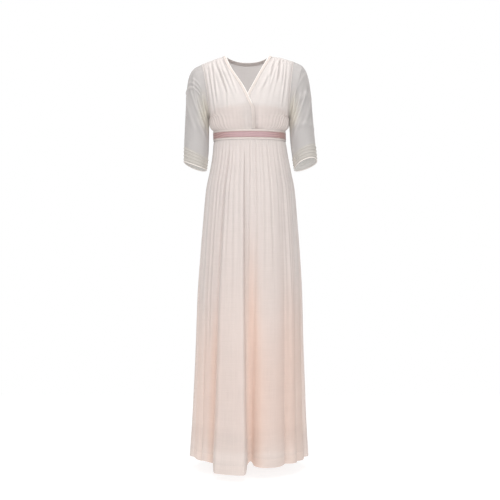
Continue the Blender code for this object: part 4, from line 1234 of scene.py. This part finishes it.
def valleys_at(waist_angle, drop, valleys):
    """How deep the skirt's long narrow valleys are at a drop, 0 to 1: they drift, widen and fade out."""
    width = (1.25 + 1.0 * fade(drop, 0.35, 1.1)) * (1 + 0.35 * np.sin(2.3 * valleys["angle"]))
    depth = valleys["strength"] ** 1.7 * (1 - fade(drop, valleys["end"], valleys["end"] + 0.30))
    drift = 2.6 * np.sin(1.9 * valleys["angle"]) * (valleys["end"] < 1.9) * fade(drop, 0.32, 0.95)
    near = np.exp(-(((waist_angle[:, None] - valleys["angle"] - drift) / width) ** 2))
    return np.clip((near * depth).sum(axis=1), 0, 1)


def skirt_panel(waist_angle, valleys, fine_valleys, fine_heights):
    """Rows of a skirt panel from the waist seam to the hem, and how far its gathers lift each point."""
    hem_angle, height, squareness, fall, forward, share = fold_at(waist_angle)
    crown = 1 - np.abs(2 * share - 1) ** squareness
    top = np.linspace(WAIST_SEAM, BAND_FOOT, 4, endpoint=False)
    body = BAND_FOOT + (HEM - HEM_DEPTH - BAND_FOOT) * np.linspace(0, 1, 92, endpoint=False) ** 1.35
    hem_rows = np.linspace(HEM - HEM_DEPTH, HEM, HEM_ROWS)
    rows, lifts = [], []
    for drop in np.concatenate([top, body, hem_rows]):
        grown = max(0.0, (drop - FOLDS_START) / (HEM - FOLDS_START))
        angle = np.radians(waist_angle + (hem_angle - waist_angle) * grown)
        ring = section_at(SKIRT_SECTIONS, drop + fall * crown * grown**3, angle)
        before, after = (section_at(SKIRT_SECTIONS, drop, angle + turn) for turn in (-0.01, 0.01))
        nearby = after - before
        out = unit(np.stack([-nearby[:, 1], nearby[:, 0], 0 * angle], axis=1))
        out *= np.sign(np.sum(out * ring * (1, 1, 0), axis=1, keepdims=True))
        out += forward[:, None] * (np.array((0.0, -1.0, 0.0)) - out)
        wander = 0.5 * math.sin(7.0 * drop + 0.6) + 0.35 * math.sin(17.0 * drop)
        wandered = np.clip(waist_angle + wander, waist_angle[0], waist_angle[-1])
        fine = gathers(wandered, fine_valleys, fine_heights)
        crest = read_at(GATHER_HEIGHTS, "height", drop)
        lift = crest * (1 - valleys_at(waist_angle, drop, valleys))
        lift = lift + fine * read_at(FINE_GATHER_HEIGHTS, "height", drop)
        lift = lift * fade(np.minimum(waist_angle - waist_angle[0], waist_angle[-1] - waist_angle), 0, 1.5)
        rows.append(ring + out * (height * crown * grown + lift)[:, None])
        lifts.append(lift)
    return np.array(rows), np.array(lifts)


skirt_panels, skirt_pieces, hem_pieces = {}, {}, {}
for name, start, sign in (("front", -90.0, -1), ("back", 90.0, 1)):
    columns = np.linspace(start, start + 180.0, SKIRT_COLUMNS)
    if name == "front":
        extra = np.concatenate([near + np.linspace(-2.4, 2.4, 14) for near in (-34.0, -9.0, 9.0)])
        columns = np.unique(np.round(np.concatenate([columns, extra]), 3))
        valleys = SKIRT_VALLEYS
    else:
        ranges = {"angle": (-2.0, 2.0), "strength": (0.5, 1.2), "end": (0.45, 1.6)}
        valleys = {column: chance.uniform(*ends, BACK_VALLEYS) for column, ends in ranges.items()}
        valleys["angle"] = np.linspace(98.0, 262.0, BACK_VALLEYS) + valleys["angle"]
    fine_folds = uneven_gathers(start, start + 180.0, FINE_GATHERS, 1.0, 0.3, 0.5)
    panel, lift = skirt_panel(columns, valleys, *fine_folds)
    # Painted shade darkens the skirt's valleys, and painted light its crests.
    painted_fold_shading = 0.6 * hollows(lift, 6, 0.0030)
    panel[:, (0, -1), 1] += sign * SEAM_GAP / 2
    down = -panel[..., 2]
    low = fade(down, 0.40, 1.25)
    if name == "front":
        # The recess at the middle, beside the box fold, is painted warmer and lighter as a painted glow; the
        # fold just outside the box fold is painted warmer and darker with painted shade.
        recess_painted_glow = np.exp(-(((columns - 0.5 - 3.0 * low) / (7.5 + 4.0 * low)) ** 2))
        recess_painted_glow = recess_painted_glow * fade(down, 0.55, 1.0) * fade(columns, -13.0, -7.0)
        fold_shade = np.exp(-(((columns + 38.0) / 5.0) ** 2)) * fade(down, 0.80, 1.10)
        warm = 0.26 * low + 0.95 * recess_painted_glow + 0.75 * fold_shade
        painted_fold_shading = painted_fold_shading + 0.18 * fold_shade - 0.18 * recess_painted_glow
        for rise, top, turn, foot, start_drop, full_drop, warmer, darker in zip(*FRONT_TINTS.values()):
            tint = fade(columns, rise, top) * (1 - fade(columns, turn, foot))
            tint = tint * fade(down, start_drop, full_drop)
            warm = warm + warmer * tint
            painted_fold_shading = painted_fold_shading + darker * tint
        warm = np.clip(warm, 0, 1)
    else:
        warm = 0.25 * low + 0.23 * fade(down, 0.5, 1.0)
    # Towards the hem the cloth is painted warmer and darker with painted shade, the top row of the turned hem
    # darker still, and the hem's own rows paler.
    near_hem = fade(down, 1.28, 1.38)
    painted_fold_shading = painted_fold_shading + 0.34 * near_hem
    warm = np.maximum(warm, 0.45 * near_hem)
    painted_fold_shading[-HEM_ROWS] += HEM_EDGE_SHADE
    painted_fold_shading[1 - HEM_ROWS :] -= HEM_PALENESS
    piece = cloth_piece(
        f"skirt_{name}_cotton", panel, sheer_cotton, SKIRT_WALL, SKIRT_CUT[0],
        warmth=warm, hollow=painted_fold_shading,
    )
    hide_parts(f"skirt_{name}")
    skirt_panels[name], skirt_pieces[name] = panel, piece
    out = normals_of(panel)
    turned = (panel - out * (SKIRT_WALL + HEM_STANDOFF))[-HEM_ROWS:]
    hem = cloth_piece(f"skirt_{name}_hem", turned, sheer_cotton, SKIRT_WALL, SKIRT_CUT[0], warmth=0.5)
    line = panel[-HEM_ROWS] + out[-HEM_ROWS] * 0.0001
    stitches = stitch_row(f"skirt_{name}_hem_stitches", line, out[-HEM_ROWS], white_thread, **HEM_STITCH)
    hem_pieces[name] = [hem, stitches]

for side, column in (("right", 0), ("left", -1)):
    line = skirt_panels["front"][5:, column] + (0, SEAM_GAP / 2, 0)
    out = np.tile((1.0 if side == "left" else -1.0, 0.0, 0.0), (len(line), 1))
    felled_seam("skirt_side_seam", side, line + out * 0.0001, out, **SKIRT_SEAM)

# The band: a straight strip of cream cotton over the seam between the bodice and the skirt, turned under and
# pressed along both edges.
BAND_BOTTOM = 0.307
BAND_STANDOFF = 0.0017
BAND_WALL = 0.0010
BAND_CUT = (0.72, 0.034)
WAIST_ROUNDNESS = 0.82
BAND_COLUMNS = 420
BAND_ROWS = 20


def waist_ring(angle, drop, standoff):
    """A ring round the waist, stood off the form by as much as given for each angle."""
    half_width = read_at(SIDE_SEAM, "x", drop)
    front, back = (read_at(BODICE_DEPTHS, name, drop) for name in ("front", "back"))
    ring = ring_of(angle, half_width, front, back, WAIST_ROUNDNESS, drop)
    return ring + unit(ring * (1, 1, 0)) * standoff[:, None]


angle = np.radians(np.arange(BAND_COLUMNS) * 360 / BAND_COLUMNS - 90)
rings = []
for share in np.linspace(0, 1, BAND_ROWS):
    edge = min(share, 1 - share)
    puff = 0.0010 * np.exp(-(((edge - 0.07) / 0.045) ** 2)) - 0.0003 * fade(edge, 0.12, 0.2)
    pucker = 0.0002 * np.sin(61 * angle) + 0.00015 * np.sin(97 * angle + 1.0)
    standoff = BAND_STANDOFF + puff + pucker * (1 - fade(edge, 0.1, 0.2))
    rings.append(waist_ring(angle, BAND_TOP + (BAND_BOTTOM - BAND_TOP) * share, standoff))
# The band is painted darker towards its sides with painted shade, where it turns from the front.
band_piece = cloth_piece(
    "band_cotton", np.array(rings), binding_cotton, BAND_WALL, BAND_CUT[0], ring=True, warmth=0.9,
    hollow=0.45 * fade(np.abs(np.sin(angle)), 0.3, 0.95)[None, :],
)
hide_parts("waistband")

# The ribbon: pink satin sewn along the middle of the band, with firm woven edges. Its turned-under end laps
# over its start at the left side.
RIBBON_HEIGHT = 0.0205
RIBBON_STANDOFF = 0.0027
RIBBON_WALL = 0.0006
RIBBON_CUT = (0.73, RIBBON_HEIGHT)
RIBBON_PINK = (0.50, 0.335, 0.355)
# The darker pink of the woven edges, also used as painted shade on the ribbon's sides.
RIBBON_EDGE_AND_SHADE_PINK = (0.375, 0.235, 0.215)
RIBBON_THREAD = 0.0007
RIBBON_SHARES = np.linspace(0, 1, 15)
EDGE_SHARE = 0.08
LAP_ANGLES = (54.0, 72.0)
LAP_CUT_LENGTH = 0.03


def ribbon_rings(angle, standoff):
    """Rows of the ribbon from its top edge to its bottom edge, with a slight wave."""
    middle = (BAND_TOP + BAND_BOTTOM) / 2
    rings = []
    for share in RIBBON_SHARES:
        wave = 0.00018 * np.sin(23 * angle + 3 * share) + 0.00012 * np.sin(41 * angle)
        thick = 0.00025 if min(share, 1 - share) < EDGE_SHARE else 0.0
        rings.append(waist_ring(angle, middle + RIBBON_HEIGHT * (share - 0.5), standoff + thick + wave))
    return np.array(rings)


ribbon_satin = woven_finish(
    "ribbon_satin", RIBBON_PINK, RIBBON_EDGE_AND_SHADE_PINK, RIBBON_THREAD, 0.38, 1.0, 0.25, slub=0.4, raised=0.2
)
# The woven edges take the darker pink, and so do the sides as painted shade; painted sheen streaks of light
# and shade run along the satin, stronger towards its sides.
ribbon_edges = 0.8 * (np.minimum(RIBBON_SHARES, 1 - RIBBON_SHARES) < EDGE_SHARE)[:, None]
sides_painted_shade = 0.75 * fade(np.abs(np.sin(angle)), 0.25, 0.95)[None, :]
painted_sheen_streaks = np.sin(5.0 * math.pi * RIBBON_SHARES[:, None] + 2.0 * np.sin(7 * angle) + 3 * angle)
ribbon_piece = cloth_piece(
    "ribbon_satin_band", ribbon_rings(angle, RIBBON_STANDOFF), ribbon_satin, RIBBON_WALL, RIBBON_CUT[0],
    ring=True, warmth=np.maximum(ribbon_edges, sides_painted_shade), hollow=0.8 * painted_sheen_streaks * (0.25 + 0.75 * sides_painted_shade),
)
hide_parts("waist_ribbon")
lap_share = np.linspace(0, 1, 30)
lap_rise = 0.0008 * fade(lap_share, 0, 0.12) * (1 - fade(lap_share, 0.97, 1.0))
lap = ribbon_rings(np.radians(np.linspace(*LAP_ANGLES, 30)), RIBBON_STANDOFF + 0.0002 + lap_rise)
# The lap takes the darker pink, the painted shade of the ribbon's side where it lies.
lap_piece = cloth_piece("ribbon_lap", lap, ribbon_satin, RIBBON_WALL, LAP_CUT_LENGTH, warmth=0.9)
